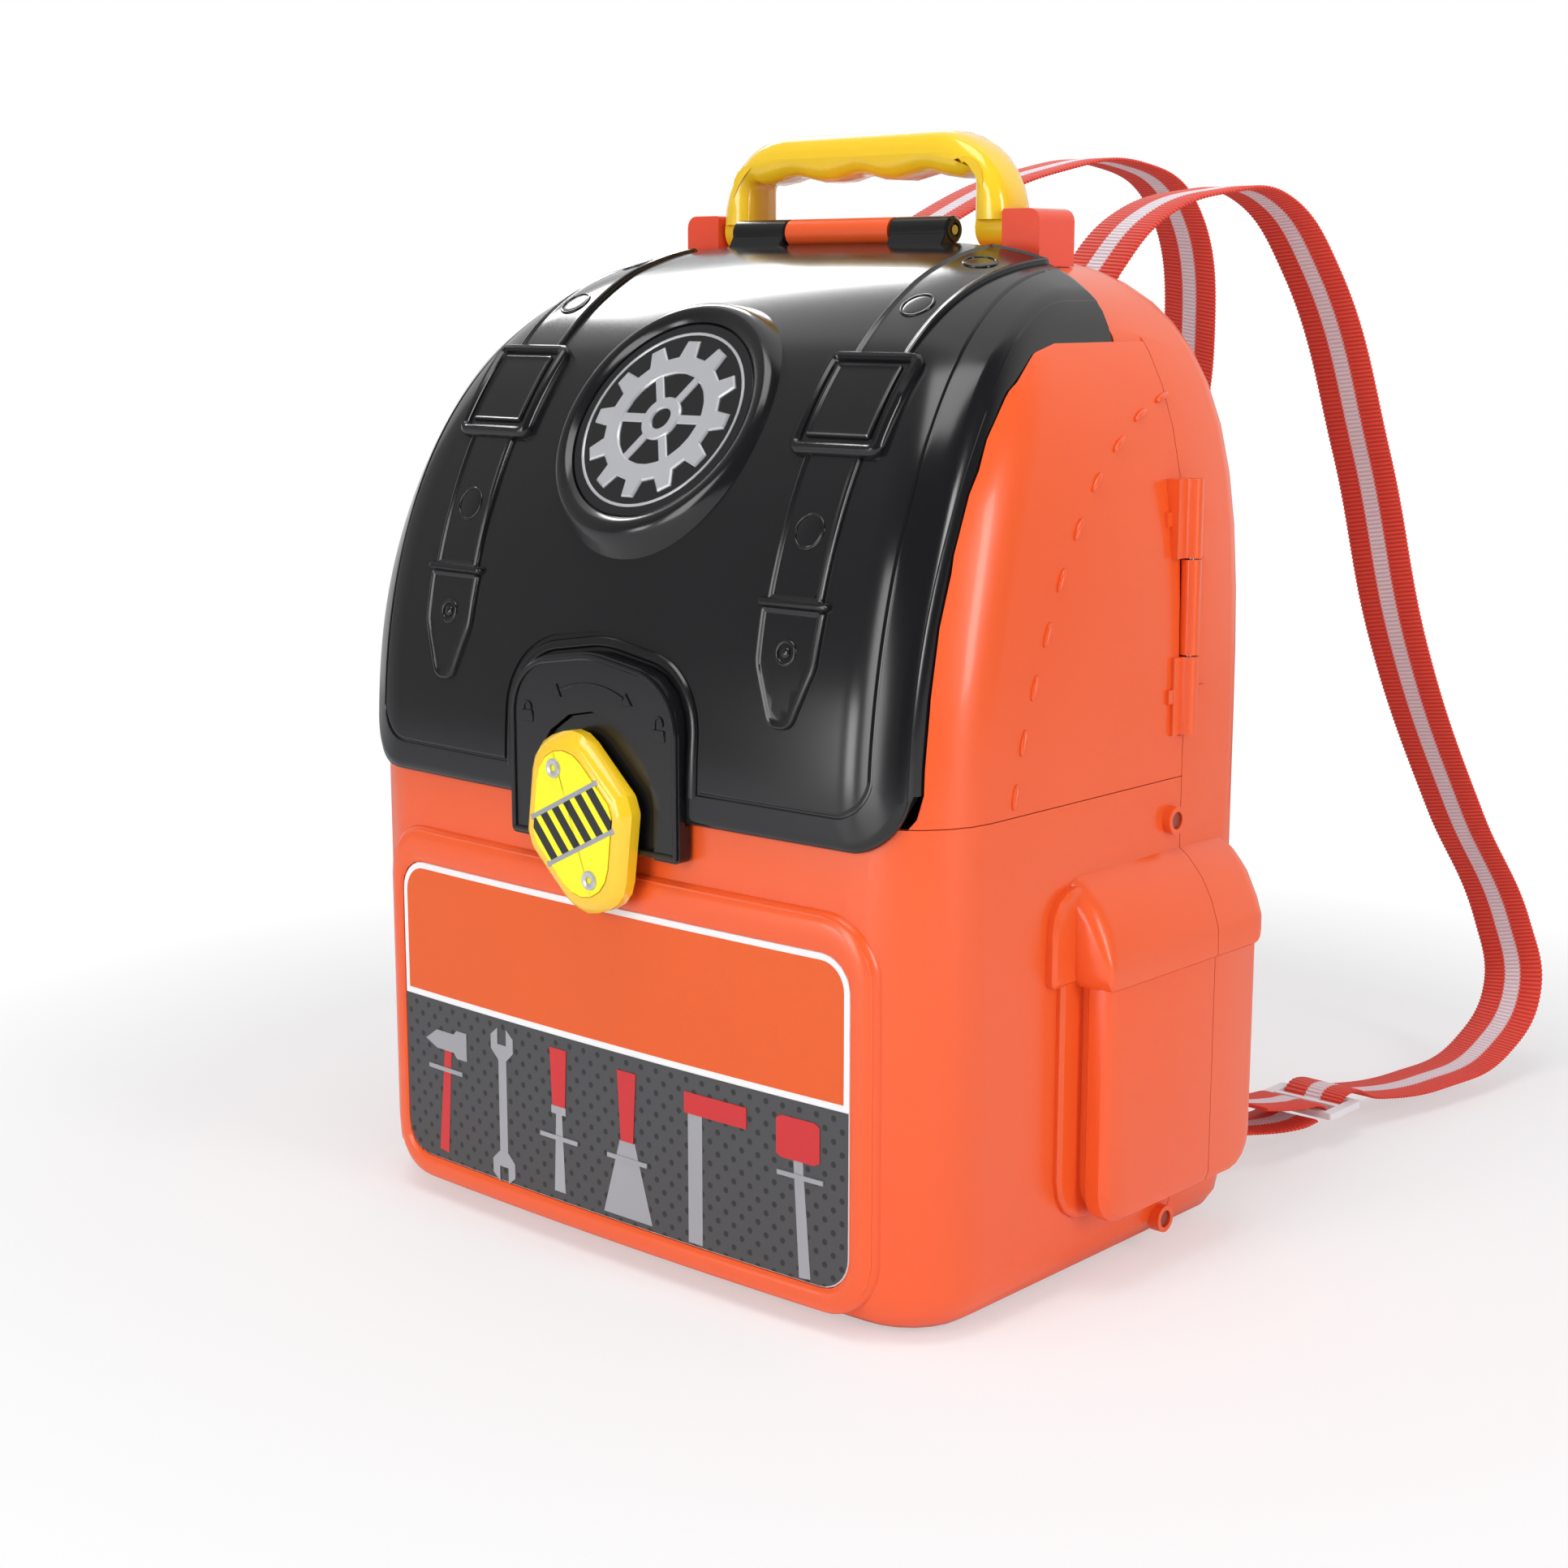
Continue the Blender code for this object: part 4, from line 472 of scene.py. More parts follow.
STOPS = np.arange(TABLE_LENGTH) * TABLE_PITCH
COLUMNS = [lid_profile(index * TABLE_PITCH) for index in range(TABLE_COLUMNS)]
TABLE = np.array([np.column_stack([np.interp(STOPS, lengths, backs), np.interp(STOPS, lengths, heights)])
                  for backs, heights, lengths in COLUMNS])


def lid_length(across, height):
    """How far along the lid's outside a height lies."""
    backs, heights, lengths = lid_profile(abs(across))
    return float(np.interp(height, heights, lengths))


def lid_full_length(across):
    """How far along the lid's outside its rear edge lies."""
    return float(lid_profile(abs(across))[2][-2])


def lid_surface(across, along):
    """Places on the lid's outside, for arrays of distances from the middle and along it."""
    column = np.clip(np.abs(across) / TABLE_PITCH, 0.0, TABLE_COLUMNS - 1.001)
    row = np.clip(along / TABLE_PITCH, 0.0, TABLE_LENGTH - 1.001)
    left, low = column.astype(int), row.astype(int)
    u, v = (column - left)[:, None], (row - low)[:, None]
    mixed = ((TABLE[left, low] * (1 - u) + TABLE[left + 1, low] * u) * (1 - v)
             + (TABLE[left, low + 1] * (1 - u) + TABLE[left + 1, low + 1] * u) * v)
    return np.column_stack((across, mixed))


def on_lid(places):
    """Carries (across, along, out) to the lid, out along its own surface's direction."""
    places = np.asarray(places, float)
    across, along, out = places[:, 0], places[:, 1], places[:, 2]
    reach = 1.5 * TABLE_PITCH
    wide = lid_surface(across + reach, along) - lid_surface(across - reach, along)
    tall = lid_surface(across, along + reach) - lid_surface(across, along - reach)
    outward = np.cross(wide, tall)
    outward /= np.linalg.norm(outward, axis=1)[:, None]
    return lid_surface(across, along) + outward * out[:, None]


def on_front(places):
    """Carries (across, up, out) to the case's front wall."""
    return [(u, front_y(abs(u), v, out), v) for u, v, out in places]


def on_arch(places):
    """Carries (across, up, out) to the latch arch's flat face."""
    return [(u, -LEG_FACE - out, v) for u, v, out in places]


def on_knob(places):
    """Carries (across, up, out) to the turned knob's face."""
    cos, sin = math.cos(KNOB_TILT), math.sin(KNOB_TILT)
    return [(u * cos - v * sin, -KNOB_FACE - out, LATCH_Z + u * sin + v * cos) for u, v, out in places]


BADGE_AT = on_lid([(0.0, lid_length(0.0, BADGE_Z), out) for out in (0.0, 1.0)])
BADGE_CENTRE = Vector(BADGE_AT[0])
BADGE_OUT = Vector(BADGE_AT[1] - BADGE_AT[0]).normalized()
BADGE_UP = Vector((1.0, 0.0, 0.0)).cross(-BADGE_OUT)


def on_badge(places):
    """Carries (across, up, out) to the badge's plane."""
    return [BADGE_CENTRE + Vector((u, 0.0, 0.0)) + BADGE_UP * v + BADGE_OUT * out for u, v, out in places]


# Making pieces.

def new_item(name, points, faces):
    """An object whose mesh has its faces turned outwards."""
    mesh = bpy.data.meshes.new(name)
    mesh.from_pydata([tuple(point) for point in points], [], faces)
    shape = bmesh.new()
    shape.from_mesh(mesh)
    bmesh.ops.recalc_face_normals(shape, faces=shape.faces)
    shape.to_mesh(mesh)
    shape.free()
    item = bpy.data.objects.new(name, mesh)
    scene.collection.objects.link(item)
    return item


def smooth(item):
    """Shades all but a piece's real edges smooth."""
    item.modifiers.new("smooth_by_angle", "NODES").node_group = SMOOTHING


def finished(name, points, faces, finish, body):
    """A smooth mesh piece of one finish that rides on a body."""
    item = new_item(name, points, faces)
    item.data.materials.append(finish)
    item.data.polygons.foreach_set("use_smooth", [True] * len(item.data.polygons))
    smooth(item)
    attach(item, body)
    return item


def plain_mesh(item):
    """The mesh that an object's modifiers make of it."""
    bpy.context.view_layer.update()
    return bpy.data.meshes.new_from_object(item.evaluated_get(bpy.context.evaluated_depsgraph_get()))


def ring_faces(count, levels, closed=False):
    """Faces between rings of as many points, where the last ring may meet the first."""
    faces = []
    for level in range(levels if closed else levels - 1):
        low, high = level * count, (level + 1) % levels * count
        for index in range(count):
            ahead = (index + 1) % count
            faces.append((low + index, low + ahead, high + ahead, high + index))
    return faces


def rod_faces(count, levels):
    """Faces between rings of as many points, with a cap on the first ring and on the last."""
    caps = [list(range(count)), [levels * count - 1 - index for index in range(count)]]
    return caps + ring_faces(count, levels)


def fillet(corners, steps=6):
    """A closed outline whose (u, v, radius) corners are rounded."""
    outline = []
    for index, (u, v, radius) in enumerate(corners):
        corner = Vector((u, v))
        back = (Vector(corners[index - 1][:2]) - corner).normalized()
        ahead = (Vector(corners[(index + 1) % len(corners)][:2]) - corner).normalized()
        if radius <= 0.0:
            outline.append(corner)
            continue
        half = back.angle(ahead) / 2
        centre = corner + (back + ahead).normalized() * radius / math.sin(half)
        start = (corner + back * radius / math.tan(half) - centre).normalized()
        finish = (corner + ahead * radius / math.tan(half) - centre).normalized()
        outline += [centre + start.slerp(finish, step / steps) * radius for step in range(steps + 1)]
    return outline


def rounded_box(low_u, high_u, low_v, high_v, radius, steps=6):
    """A rectangle with round corners."""
    return fillet([(low_u, low_v, radius), (high_u, low_v, radius),
                   (high_u, high_v, radius), (low_u, high_v, radius)], steps)


def spot(radius, angle, centre=(0.0, 0.0)):
    """A point of a circle."""
    return Vector((centre[0] + radius * math.cos(angle), centre[1] + radius * math.sin(angle)))


def disc(radius, steps):
    """A round outline about the origin."""
    return [spot(radius, 2 * math.pi * step / steps) for step in range(steps)]


def shrunk(outline, inset):
    """The outline moved in by a distance, whichever way round it runs."""
    turn = sum(outline[index - 1].x * point.y - point.x * outline[index - 1].y
               for index, point in enumerate(outline))
    side = 1.0 if turn > 0 else -1.0
    moved = []
    for index, point in enumerate(outline):
        before = (point - outline[index - 1]).normalized()
        after = (outline[(index + 1) % len(outline)] - point).normalized()
        along = (before + after).normalized()
        stretch = max(along.dot(after), 0.35)
        moved.append(point + Vector((-along.y, along.x)) * side * inset / stretch)
    return moved


def raised(outline, inset, height):
    """A loop of places: the outline moved in and set at a height."""
    return [(point.x, point.y, height) for point in shrunk(outline, inset)]


def pad(name, outline, levels, place, finish, body, pitch=0.003):
    """A closed raised piece: an outline taken through (inset, height) levels, cut fine and laid by place."""
    shape = bmesh.new()
    rings = [[shape.verts.new(corner) for corner in raised(outline, inset, height)]
             for inset, height in levels]
    corners = [corner for ring in rings for corner in ring]
    for face in ring_faces(len(outline), len(levels)):
        shape.faces.new([corners[index] for index in face])
    shape.faces.new(list(reversed(rings[0])))
    shape.faces.new(rings[-1])
    for axis, direction in ((0, (1, 0, 0)), (1, (0, 1, 0))) if pitch else ():
        low = min(point[axis] for point in outline)
        reach = max(point[axis] for point in outline) - low
        parts = int(reach / pitch)
        for step in range(1, parts):
            at = [0.0, 0.0, 0.0]
            at[axis] = low + reach * step / parts
            bmesh.ops.bisect_plane(shape, geom=shape.verts[:] + shape.edges[:] + shape.faces[:], dist=1e-6,
                                   plane_co=at, plane_no=direction)
    shape.verts.index_update()
    points = place([tuple(corner.co) for corner in shape.verts])
    faces = [[corner.index for corner in face.verts] for face in shape.faces]
    shape.free()
    return finished(name, points, faces, finish, body)


def tube(name, loops, finish, body):
    """A closed piece between loops of as many points, the last joined to the first."""
    points = [point for loop in loops for point in loop]
    return finished(name, points, ring_faces(len(loops[0]), len(loops), True), finish, body)


def collar(name, parts, place, finish, body):
    """A closed raised band through outlines, each with its (inset, height) levels."""
    loops = [place(raised(outline, inset, height)) for outline, levels in parts for inset, height in levels]
    return tube(name, loops, finish, body)


def bead(name, outline, section, place, finish, body):
    """A closed raised line: a section of (inset, height) points carried round an outline."""
    return collar(name, ((outline, section),), place, finish, body)


def joined(name, items):
    """Several pieces of one body made one."""
    with bpy.context.temp_override(active_object=items[0], selected_editable_objects=items):
        bpy.ops.object.join()
    items[0].name = items[0].data.name = name
    return items[0]


def turned(name, profile, centre, axis, finish, body, steps):
    """A shape turned about an axis from (radius, height) points, closed at both ends."""
    axis = Vector(axis).normalized()
    side = axis.orthogonal().normalized()
    other = axis.cross(side)
    points = []
    for radius, height in profile:
        for step in range(steps):
            angle = 2 * math.pi * step / steps
            out = side * math.cos(angle) + other * math.sin(angle)
            points.append(Vector(centre) + axis * height + out * radius)
    last = (len(profile) - 1) * steps
    caps = [list(range(steps)), list(range(last, last + steps))]
    return finished(name, points, ring_faces(steps, len(profile)) + caps, finish, body)


# The lid.

COLUMN_SHARES = np.sin(np.linspace(-1.0, 1.0, COLUMN_COUNT + 1) * math.pi / 2) * EDGE_SHARE
ROW_COUNT = len(ROW_SHARES) - 1
PATCH_WIDTH = COLUMN_COUNT + 1

# Sections as (growth, height) points, from the outside of a seam to its inside
RIM_SECTION = ((0.0, -0.0053), (0.0, -0.0020), (-0.0003, -0.0009), (-0.0010, 0.0), (-0.0020, 0.0005),
               (-0.0030, LID_PANEL_RISE), (-0.0036, LID_PANEL_RISE), (-LID_BAND + 0.0009, LID_PANEL_RISE),
               (-LID_BAND + 0.0004, LID_PANEL_RISE), (-LID_BAND + 0.0001, LID_PANEL_RISE - 0.0003),
               (-LID_BAND, -0.0010), (-0.0028, -0.0014), (-0.0026, -0.0053))
PANEL_EDGES = ((0.0003, LID_PANEL_RISE - 0.0001), (0.0006, LID_PANEL_RISE - 0.0004), (0.0006, -0.0010))
RIDGE_SECTION = ((-0.0008, -0.0012), (-0.0008, 0.0004), (-0.0014, 0.0011), (-0.0026, 0.0014),
                 (-0.0038, 0.0011), (-0.0044, 0.0004), (-0.0044, -0.0012))

# (inset, height) levels above the lid's panel
KEEPER_LEVELS = ((0.0, 0.0012), (0.0006, 0.0022), (0.0013, 0.0025))
BUCKLE_LEVELS = ((0.0, 0.0014), (0.0005, 0.0025), (0.0015, 0.0032), (0.0026, 0.0032), (0.0035, 0.0026),
                 (0.0039, 0.0016))

# (distance from a radius, height) points, and (inset, height) levels over the badge's plane
BADGE_RING = ((0.0050, -0.0070), (0.0024, -0.0020), (0.0008, 0.0010), (-0.0010, 0.0026), (-0.0030, 0.0030),
              (-0.0050, 0.0024))
BADGE_RING_FOOT = ((0.0004, 0.0012), (0.0002, -0.0002))
BADGE_FACE = ((0.0, -0.0004), (0.0, 0.0004), (-0.0004, 0.0008))
TOOTH = ((-0.30, 0.80), (-0.17, 1.0), (0.17, 1.0), (0.30, 0.80))
TOOTH_LEVELS = ((0.0, 0.0004), (0.0, 0.0012), (0.0005, 0.0017))
HOLE_LEVELS = ((-0.0005, 0.0017), (0.0, 0.0012), (0.0, 0.0004))
HUB_SECTION = ((0.0, 0.0004), (0.0, 0.0012), (0.0005, 0.0017), (0.0036, 0.0017), (0.0040, 0.0012),
               (0.0040, 0.0004))
SPOKE_LEVELS = ((0.0, 0.0004), (0.0, 0.0011), (0.0003, 0.0014))
LINE_SECTION = ((0.0, 0.0006), (0.0, 0.0010), (0.0002, 0.0012), (0.0008, 0.0012), (0.0010, 0.0010),
                (0.0010, 0.0006))


def lowered(places):
    """Carries (across, along, out) to the lid, whose shoulders lie lower along its upper sides."""
    places = np.asarray(places, float)
    points = on_lid(places)
    below = on_lid(places - (0.0, 0.0, SHOULDER_DROP))
    wide = np.clip((np.abs(places[:, 0]) - SHOULDER_X) / SHOULDER_RUN, 0.0, 1.0)
    high = np.clip((points[:, 2] - SHOULDER_LOW_Z) / SHOULDER_CLIMB, 0.0, 1.0)
    share = wide * wide * (3 - 2 * wide) * high * high * (3 - 2 * high)
    return points + (below - points) * share[:, None]


def lid_patch(inset=0.0, corner_inset=0.0, rear_inset=0.0):
    """The lid moved in: returns what gives its places, for a growth all round and a depth."""
    half_width, low_z = LID_HALF_WIDTH - inset, LID_LOW_Z + inset
    corner, rear_y = LID_CORNER - corner_inset, LID_REAR_Y - rear_inset

    def patch(grow, depth):
        reach, arc = half_width + grow, max(corner + grow / 2, LEAST_CORNER)
        wide = (reach + max(-depth, 0.0)) * np.sin(np.linspace(0.0, math.pi / 2, PATCH_STEPS))
        starts, finishes = [], []
        for across in wide:
            course = lid_surface(np.full(TABLE_LENGTH - 1, across), STOPS[:-1])
            past = min(max(across - reach + arc, 0.0), arc)
            low = low_z - grow + arc - math.sqrt(max(arc * arc - past * past, 0.0))
            starts.append(np.interp(low, course[:, 2], STOPS[:-1]))
            finishes.append(np.interp(rear_y + grow, course[:, 1], STOPS[:-1]))
        starts, finishes = np.array(starts), np.array(finishes)
        rows = []
        for share in ROW_SHARES:
            along = starts + (finishes - starts) * share
            course = lowered(np.column_stack((wide, along, np.full(len(wide), depth))))
            spent = (np.abs(course[:, 0]) / reach) ** SHOULDER_POWER
            kept = np.maximum(1.0 - spent, 0.0) ** (1 / SHOULDER_POWER)
            past = course[:, 2] - SHOULDER_Z - LID_REACH * kept
            beyond = int(np.argmax(past > 0.0))
            limit = wide[-1]
            if beyond:
                part = past[beyond - 1] / (past[beyond - 1] - past[beyond])
                limit = wide[beyond - 1] + (wide[beyond] - wide[beyond - 1]) * part
            across = limit * COLUMN_SHARES
            rows.append(np.column_stack((across, np.interp(np.abs(across), wide, along),
                                         np.full(len(across), depth))))
        return np.concatenate(rows)
    return patch


def border_rows():
    """Indices of a lid patch's border, once round."""
    low = list(range(PATCH_WIDTH))
    right = [row * PATCH_WIDTH + COLUMN_COUNT for row in range(1, ROW_COUNT + 1)]
    top = [ROW_COUNT * PATCH_WIDTH + column for column in range(COLUMN_COUNT - 1, -1, -1)]
    left = [row * PATCH_WIDTH for row in range(ROW_COUNT - 1, 0, -1)]
    return low + right + top + left


BORDER = border_rows()


def lid_border(patch, grow, depth, floor=None):
    """One loop round a lid patch, kept off the tub below the seam if it has a floor."""
    places = patch(grow, depth)[BORDER]
    if floor is not None:
        low = lowered(places)[:, 2] < SEAM_Z + SEAM_ROOM
        places[low, 2] = np.maximum(places[low, 2], floor)
    return lowered(places)


def lid_sheet(name, patch, face, foot, edges):
    """A closed black patch of the lid between two depths, with loops of (grow, depth) between them."""
    count = PATCH_WIDTH * (ROW_COUNT + 1)
    points = list(lowered(patch(0.0, face))) + list(lowered(patch(edges[-1][0], foot)))
    loops = [list(BORDER)]
    for grow, depth in edges[:-1]:
        loops.append([len(points) + index for index in range(len(BORDER))])
        points += list(lid_border(patch, grow, depth))
    loops.append([count + index for index in BORDER])
    faces = []
    for row in range(ROW_COUNT):
        for column in range(COLUMN_COUNT):
            low = row * PATCH_WIDTH + column
            quad = (low, low + 1, low + PATCH_WIDTH + 1, low + PATCH_WIDTH)
            faces += [quad, tuple(count + quad[index] for index in (0, 3, 2, 1))]
    ring = [index for loop in loops for index in loop]
    faces += [[ring[index] for index in face] for face in ring_faces(len(BORDER), len(loops))]
    return finished(name, points, faces, black, "lid")


def arch_outline(inset):
    """The latch arch seen from the front."""
    half, top = ARCH_HALF_WIDTH - inset, ARCH_TOP_Z - inset
    low, turn = LEG_LOW_Z + inset / 2, ARCH_SHOULDER - inset
    return fillet([(half, low, LEG_CORNER), (half, top - ARCH_CROWN, turn), (0.0, top, ARCH_HALF_WIDTH),
                   (-half, top - ARCH_CROWN, turn), (-half, low, LEG_CORNER)], 20)


def cut_arch_room(item, inset):
    """Cuts the latch arch's room out of a piece of the lid."""
    outline = arch_outline(inset)
    points = [(point.x, y, point.y) for y in ARCH_ROOM for point in outline]
    tool = new_item("arch_room", points, rod_faces(len(outline), 2))
    item.modifiers.clear()
    step = item.modifiers.new("cut", "BOOLEAN")
    step.operation, step.solver, step.object = "DIFFERENCE", "EXACT", tool
    old, mesh = item.data, plain_mesh(item)
    item.modifiers.clear()
    item.data = mesh
    mesh.name = item.name
    bpy.data.meshes.remove(old)
    bpy.data.objects.remove(tool)
    smooth(item)


def make_arch_ridge():
    """The raised ridge on the lid that runs up, over and down beside the latch arch."""
    line = [point for point in arch_outline(0.0) if point.y > LID_LOW_Z + RIDGE_LEGS]
    foot = LID_LOW_Z + LID_BAND - LID_GROOVE
    line = [line[0] - Vector((0.0, line[0].y - foot)), *line, Vector((line[-1].x, foot))]
    fine = []
    for start, finish in zip(line, line[1:]):
        steps = max(int((finish - start).length / RIDGE_PITCH), 1)
        fine += [start.lerp(finish, step / steps) for step in range(steps)]
    fine.append(line[-1])
    points = []
    for index, point in enumerate(fine):
        along = (fine[min(index + 1, len(fine) - 1)] - fine[max(index - 1, 0)]).normalized()
        out = Vector((along.y, -along.x))
        for inset, height in RIDGE_SECTION:
            place = point + out * -inset
            points += list(on_lid([(place.x, lid_length(place.x, place.y), height)]))
    finished("arch_ridge", points, rod_faces(len(RIDGE_SECTION), len(fine)), black, "lid")


def make_lid_shell():
    """The lid's wall, its raised rim, its inner panel and the ridge round the latch arch."""
    tucked = lid_patch(LID_TUCK, LID_TUCK, LID_TUCK)
    shell = lid_sheet("lid_shell", tucked, 0.0, -LID_WALL, ((0.0, -LID_WALL / 2), (0.0, -LID_WALL)))
    cut_arch_room(shell, SHELL_ROOM)
    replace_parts(shell, "lid")

    whole = lid_patch()
    loops = [lid_border(whole, grow, depth, LID_FOOT) for grow, depth in RIM_SECTION]
    cut_arch_room(tube("lid_rim", loops, black, "lid"), RIM_ROOM)

    back = LID_BAND + LID_GROOVE
    inner = lid_patch(back, back / 2, LID_PANEL_BACK)
    cut_arch_room(lid_sheet("lid_panel", inner, LID_PANEL_RISE, PANEL_EDGES[-1][1], PANEL_EDGES), PANEL_ROOM)
    make_arch_ridge()


def side_bead(low, top, soft):
    """Levels of a pad whose edge stands as a rounded bead round a flat, slightly lower field."""
    return ((0.0, low), (0.0, top - soft), (soft * 0.4, top - soft * 0.25), (soft, top),
            (soft * 1.7, top - soft * 0.2), (soft * 2.2, top - soft * 0.55), (soft * 2.5, top - soft * 0.6))


def on_panel(levels):
    """Levels of a pad that stands on the lid's panel."""
    return ((0.0, BELT_ROOT), *((inset, LID_PANEL_RISE + height) for inset, height in levels))


def belt_box(side, half, low, high, radius, steps=6):
    """A rectangle with round corners about a belt's middle line."""
    return rounded_box(side * BELT_X - half, side * BELT_X + half, low, high, radius, steps)


def make_belts():
    """Two moulded belts with buckles, keepers and sewn tongues."""
    step, tip = lid_length(BELT_X, BELT_STEP_Z), lid_length(BELT_X, BELT_TIP_Z)
    end = lid_full_length(BELT_X) - BELT_END
    low, high = lid_length(BELT_X, BUCKLE_LOW_Z), lid_length(BELT_X, BUCKLE_HIGH_Z)
    sewn = side_bead(BELT_ROOT, LID_PANEL_RISE + BELT_RISE, BELT_SOFT)
    plate = side_bead(LID_PANEL_RISE + PLATE_FOOT, LID_PANEL_RISE + PLATE_RISE, PLATE_SOFT)
    inner_low, inner_high = low + BUCKLE_INSET, high - BUCKLE_INSET
    side_of_tongue = ((TONGUE_HALF, step - TONGUE_UNDER, TONGUE_CORNER),
                      (TONGUE_HALF - TONGUE_NARROWING, step - TONGUE_TAPER, TONGUE_BEND),
                      (TIP_HALF, tip - TIP_OVER, TIP_CORNER))
    for label, side in SIDES:
        middle = side * BELT_X
        tongue = [(middle + u, v, radius) for u, v, radius in side_of_tongue]
        tongue += [(middle - u, v, radius) for u, v, radius in reversed(side_of_tongue)]
        for name, outline, levels in (
                ("belt", belt_box(side, BELT_HALF, step, end, BELT_CORNER, 2), sewn),
                ("tongue", fillet(tongue, 8), sewn),
                ("keeper", belt_box(side, TONGUE_HALF + KEEPER_OVER, step - KEEPER_BELOW, step + KEEPER_ABOVE,
                                    KEEPER_CORNER, 4), on_panel(KEEPER_LEVELS)),
                ("buckle", belt_box(side, BUCKLE_HALF, low, high, BUCKLE_CORNER), on_panel(BUCKLE_LEVELS)),
                ("buckle_plate",
                 belt_box(side, BUCKLE_HALF - BUCKLE_INSET, inner_low, inner_high, PLATE_CORNER),
                 plate)):
            pad(f"{name}_{label}", outline, levels, on_lid, black, "lid")


RIVET_SIZES = ("Ring radius", "Ring thickness", "Dome radius", "Dome height")
STITCH_SIZES = ("Stitch length", "Stitch width")


def aligned(tree, label, inputs=(), **settings):
    """A rotation that turns an axis to a direction that each point carries."""
    carried = node(tree, "GeometryNodeInputNamedAttribute", {"Name": label}, data_type="FLOAT_VECTOR")
    inputs = {"Vector": carried.outputs["Attribute"], **dict(inputs)}
    return node(tree, "FunctionNodeAlignRotationToVector", inputs, **settings)


def set_out(tree, given, shape, **inputs):
    """Sets a shape on every point, then makes the copies real, smooth and painted."""
    inputs.update({"Points": given["Geometry"], "Instance": shape})
    real = node(tree, "GeometryNodeRealizeInstances", {
        "Geometry": node(tree, "GeometryNodeInstanceOnPoints", inputs)})
    even = node(tree, "GeometryNodeSetShadeSmooth", {"Geometry": real})
    painted = node(tree, "GeometryNodeSetMaterial", {"Geometry": even, "Material": given["Finish"]})
    node(tree, "NodeGroupOutput", {"Geometry": painted})
    return tree


def rivet_tree():
    """Rings with a low dome in each, set on every point of a mesh and turned to its facing."""
    tree, given = new_tree("rivets", RIVET_SIZES, ("Finish",))
    ring, section = (node(tree, "GeometryNodeCurvePrimitiveCircle",
                          {"Resolution": steps, "Radius": given[label]})
                     for label, steps in zip(RIVET_SIZES, (32, 10)))
    sweep = node(tree, "GeometryNodeCurveToMesh", {"Curve": ring, "Profile Curve": section})
    dome = node(tree, "GeometryNodeMeshUVSphere",
                {"Segments": 32, "Rings": 12, "Radius": given["Dome radius"]})
    scale = node(tree, "ShaderNodeCombineXYZ", {"X": 1.0, "Y": 1.0, "Z": given["Dome height"]})
    flat = node(tree, "GeometryNodeTransform", {"Geometry": dome, "Scale": scale})
    both = node(tree, "GeometryNodeJoinGeometry", {"Geometry": sweep})
    tree.links.new(flat.outputs["Geometry"], both.inputs["Geometry"])
    return set_out(tree, given, both, Rotation=aligned(tree, "facing", axis="Z"))


def stitch_tree():
    """Oblong moulded stitches set on every point of a mesh, along its own direction."""
    tree, given = new_tree("stitches", STITCH_SIZES, ("Finish",))
    bulge = node(tree, "GeometryNodeMeshUVSphere", {"Segments": 16, "Rings": 8, "Radius": 1.0})
    long, wide = (maths(tree, "MULTIPLY", given[label], 0.5) for label in STITCH_SIZES)
    sizes = node(tree, "ShaderNodeCombineXYZ", {"X": long, "Y": wide, "Z": wide})
    heading = aligned(tree, "heading", {"Rotation": aligned(tree, "facing", axis="Z")},
                      axis="X", pivot_axis="Z")
    return set_out(tree, given, bulge, Rotation=heading, Scale=sizes)


RIVETS, STITCHES = rivet_tree(), stitch_tree()


def repeated(name, group, places, values, finish, body):
    """Runs a tree on points with their facing and heading, and keeps the result as a plain mesh."""
    item = new_item(name, [place[0] for place in places], [])
    mesh = item.data
    for label, column in (("facing", 1), ("heading", 2)):
        carried = mesh.attributes.new(label, "FLOAT_VECTOR", "POINT")
        carried.data.foreach_set("vector", [part for place in places for part in place[column]])
    step = item.modifiers.new(name, "NODES")
    step.node_group = group
    sockets = {socket.name: socket.identifier for socket in group.interface.items_tree
               if socket.in_out == "INPUT"}
    for label, value in {**values, "Finish": finish}.items():
        step[sockets[label]] = value
    made = plain_mesh(item)
    item.modifiers.clear()
    item.data = made
    made.name = name
    bpy.data.meshes.remove(mesh)
    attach(item, body)


def lid_spot(across, along, out):
    """A place on the lid with its facing and heading."""
    at, above, ahead = on_lid(np.array((across, along, out)) + ((0, 0, 0), (0, 0, 0.001), (0, 0.001, 0)))
    return Vector(at), Vector(above - at).normalized(), Vector(ahead - at).normalized()


def make_rivets():
    """Flat ring rivets on the belts, and snap rivets on their tongues."""
    stops = [lid_length(BELT_X, height) for height in RIVET_HEIGHTS] + [lid_full_length(BELT_X) - RIVET_BACK]
    for name, places, values in (
            ("belt_rivets", stops, (0.0053, 0.0005, 0.0050, 0.08)),
            ("snap_rivets", [lid_length(BELT_X, SNAP_Z)], (0.0034, 0.0008, 0.0019, 0.6))):
        spots = [lid_spot(side * BELT_X, along, LID_PANEL_RISE + BELT_RISE - RIVET_SINK)
                 for _, side in SIDES for along in places]
        repeated(name, RIVETS, spots, dict(zip(RIVET_SIZES, values)), black, "lid")


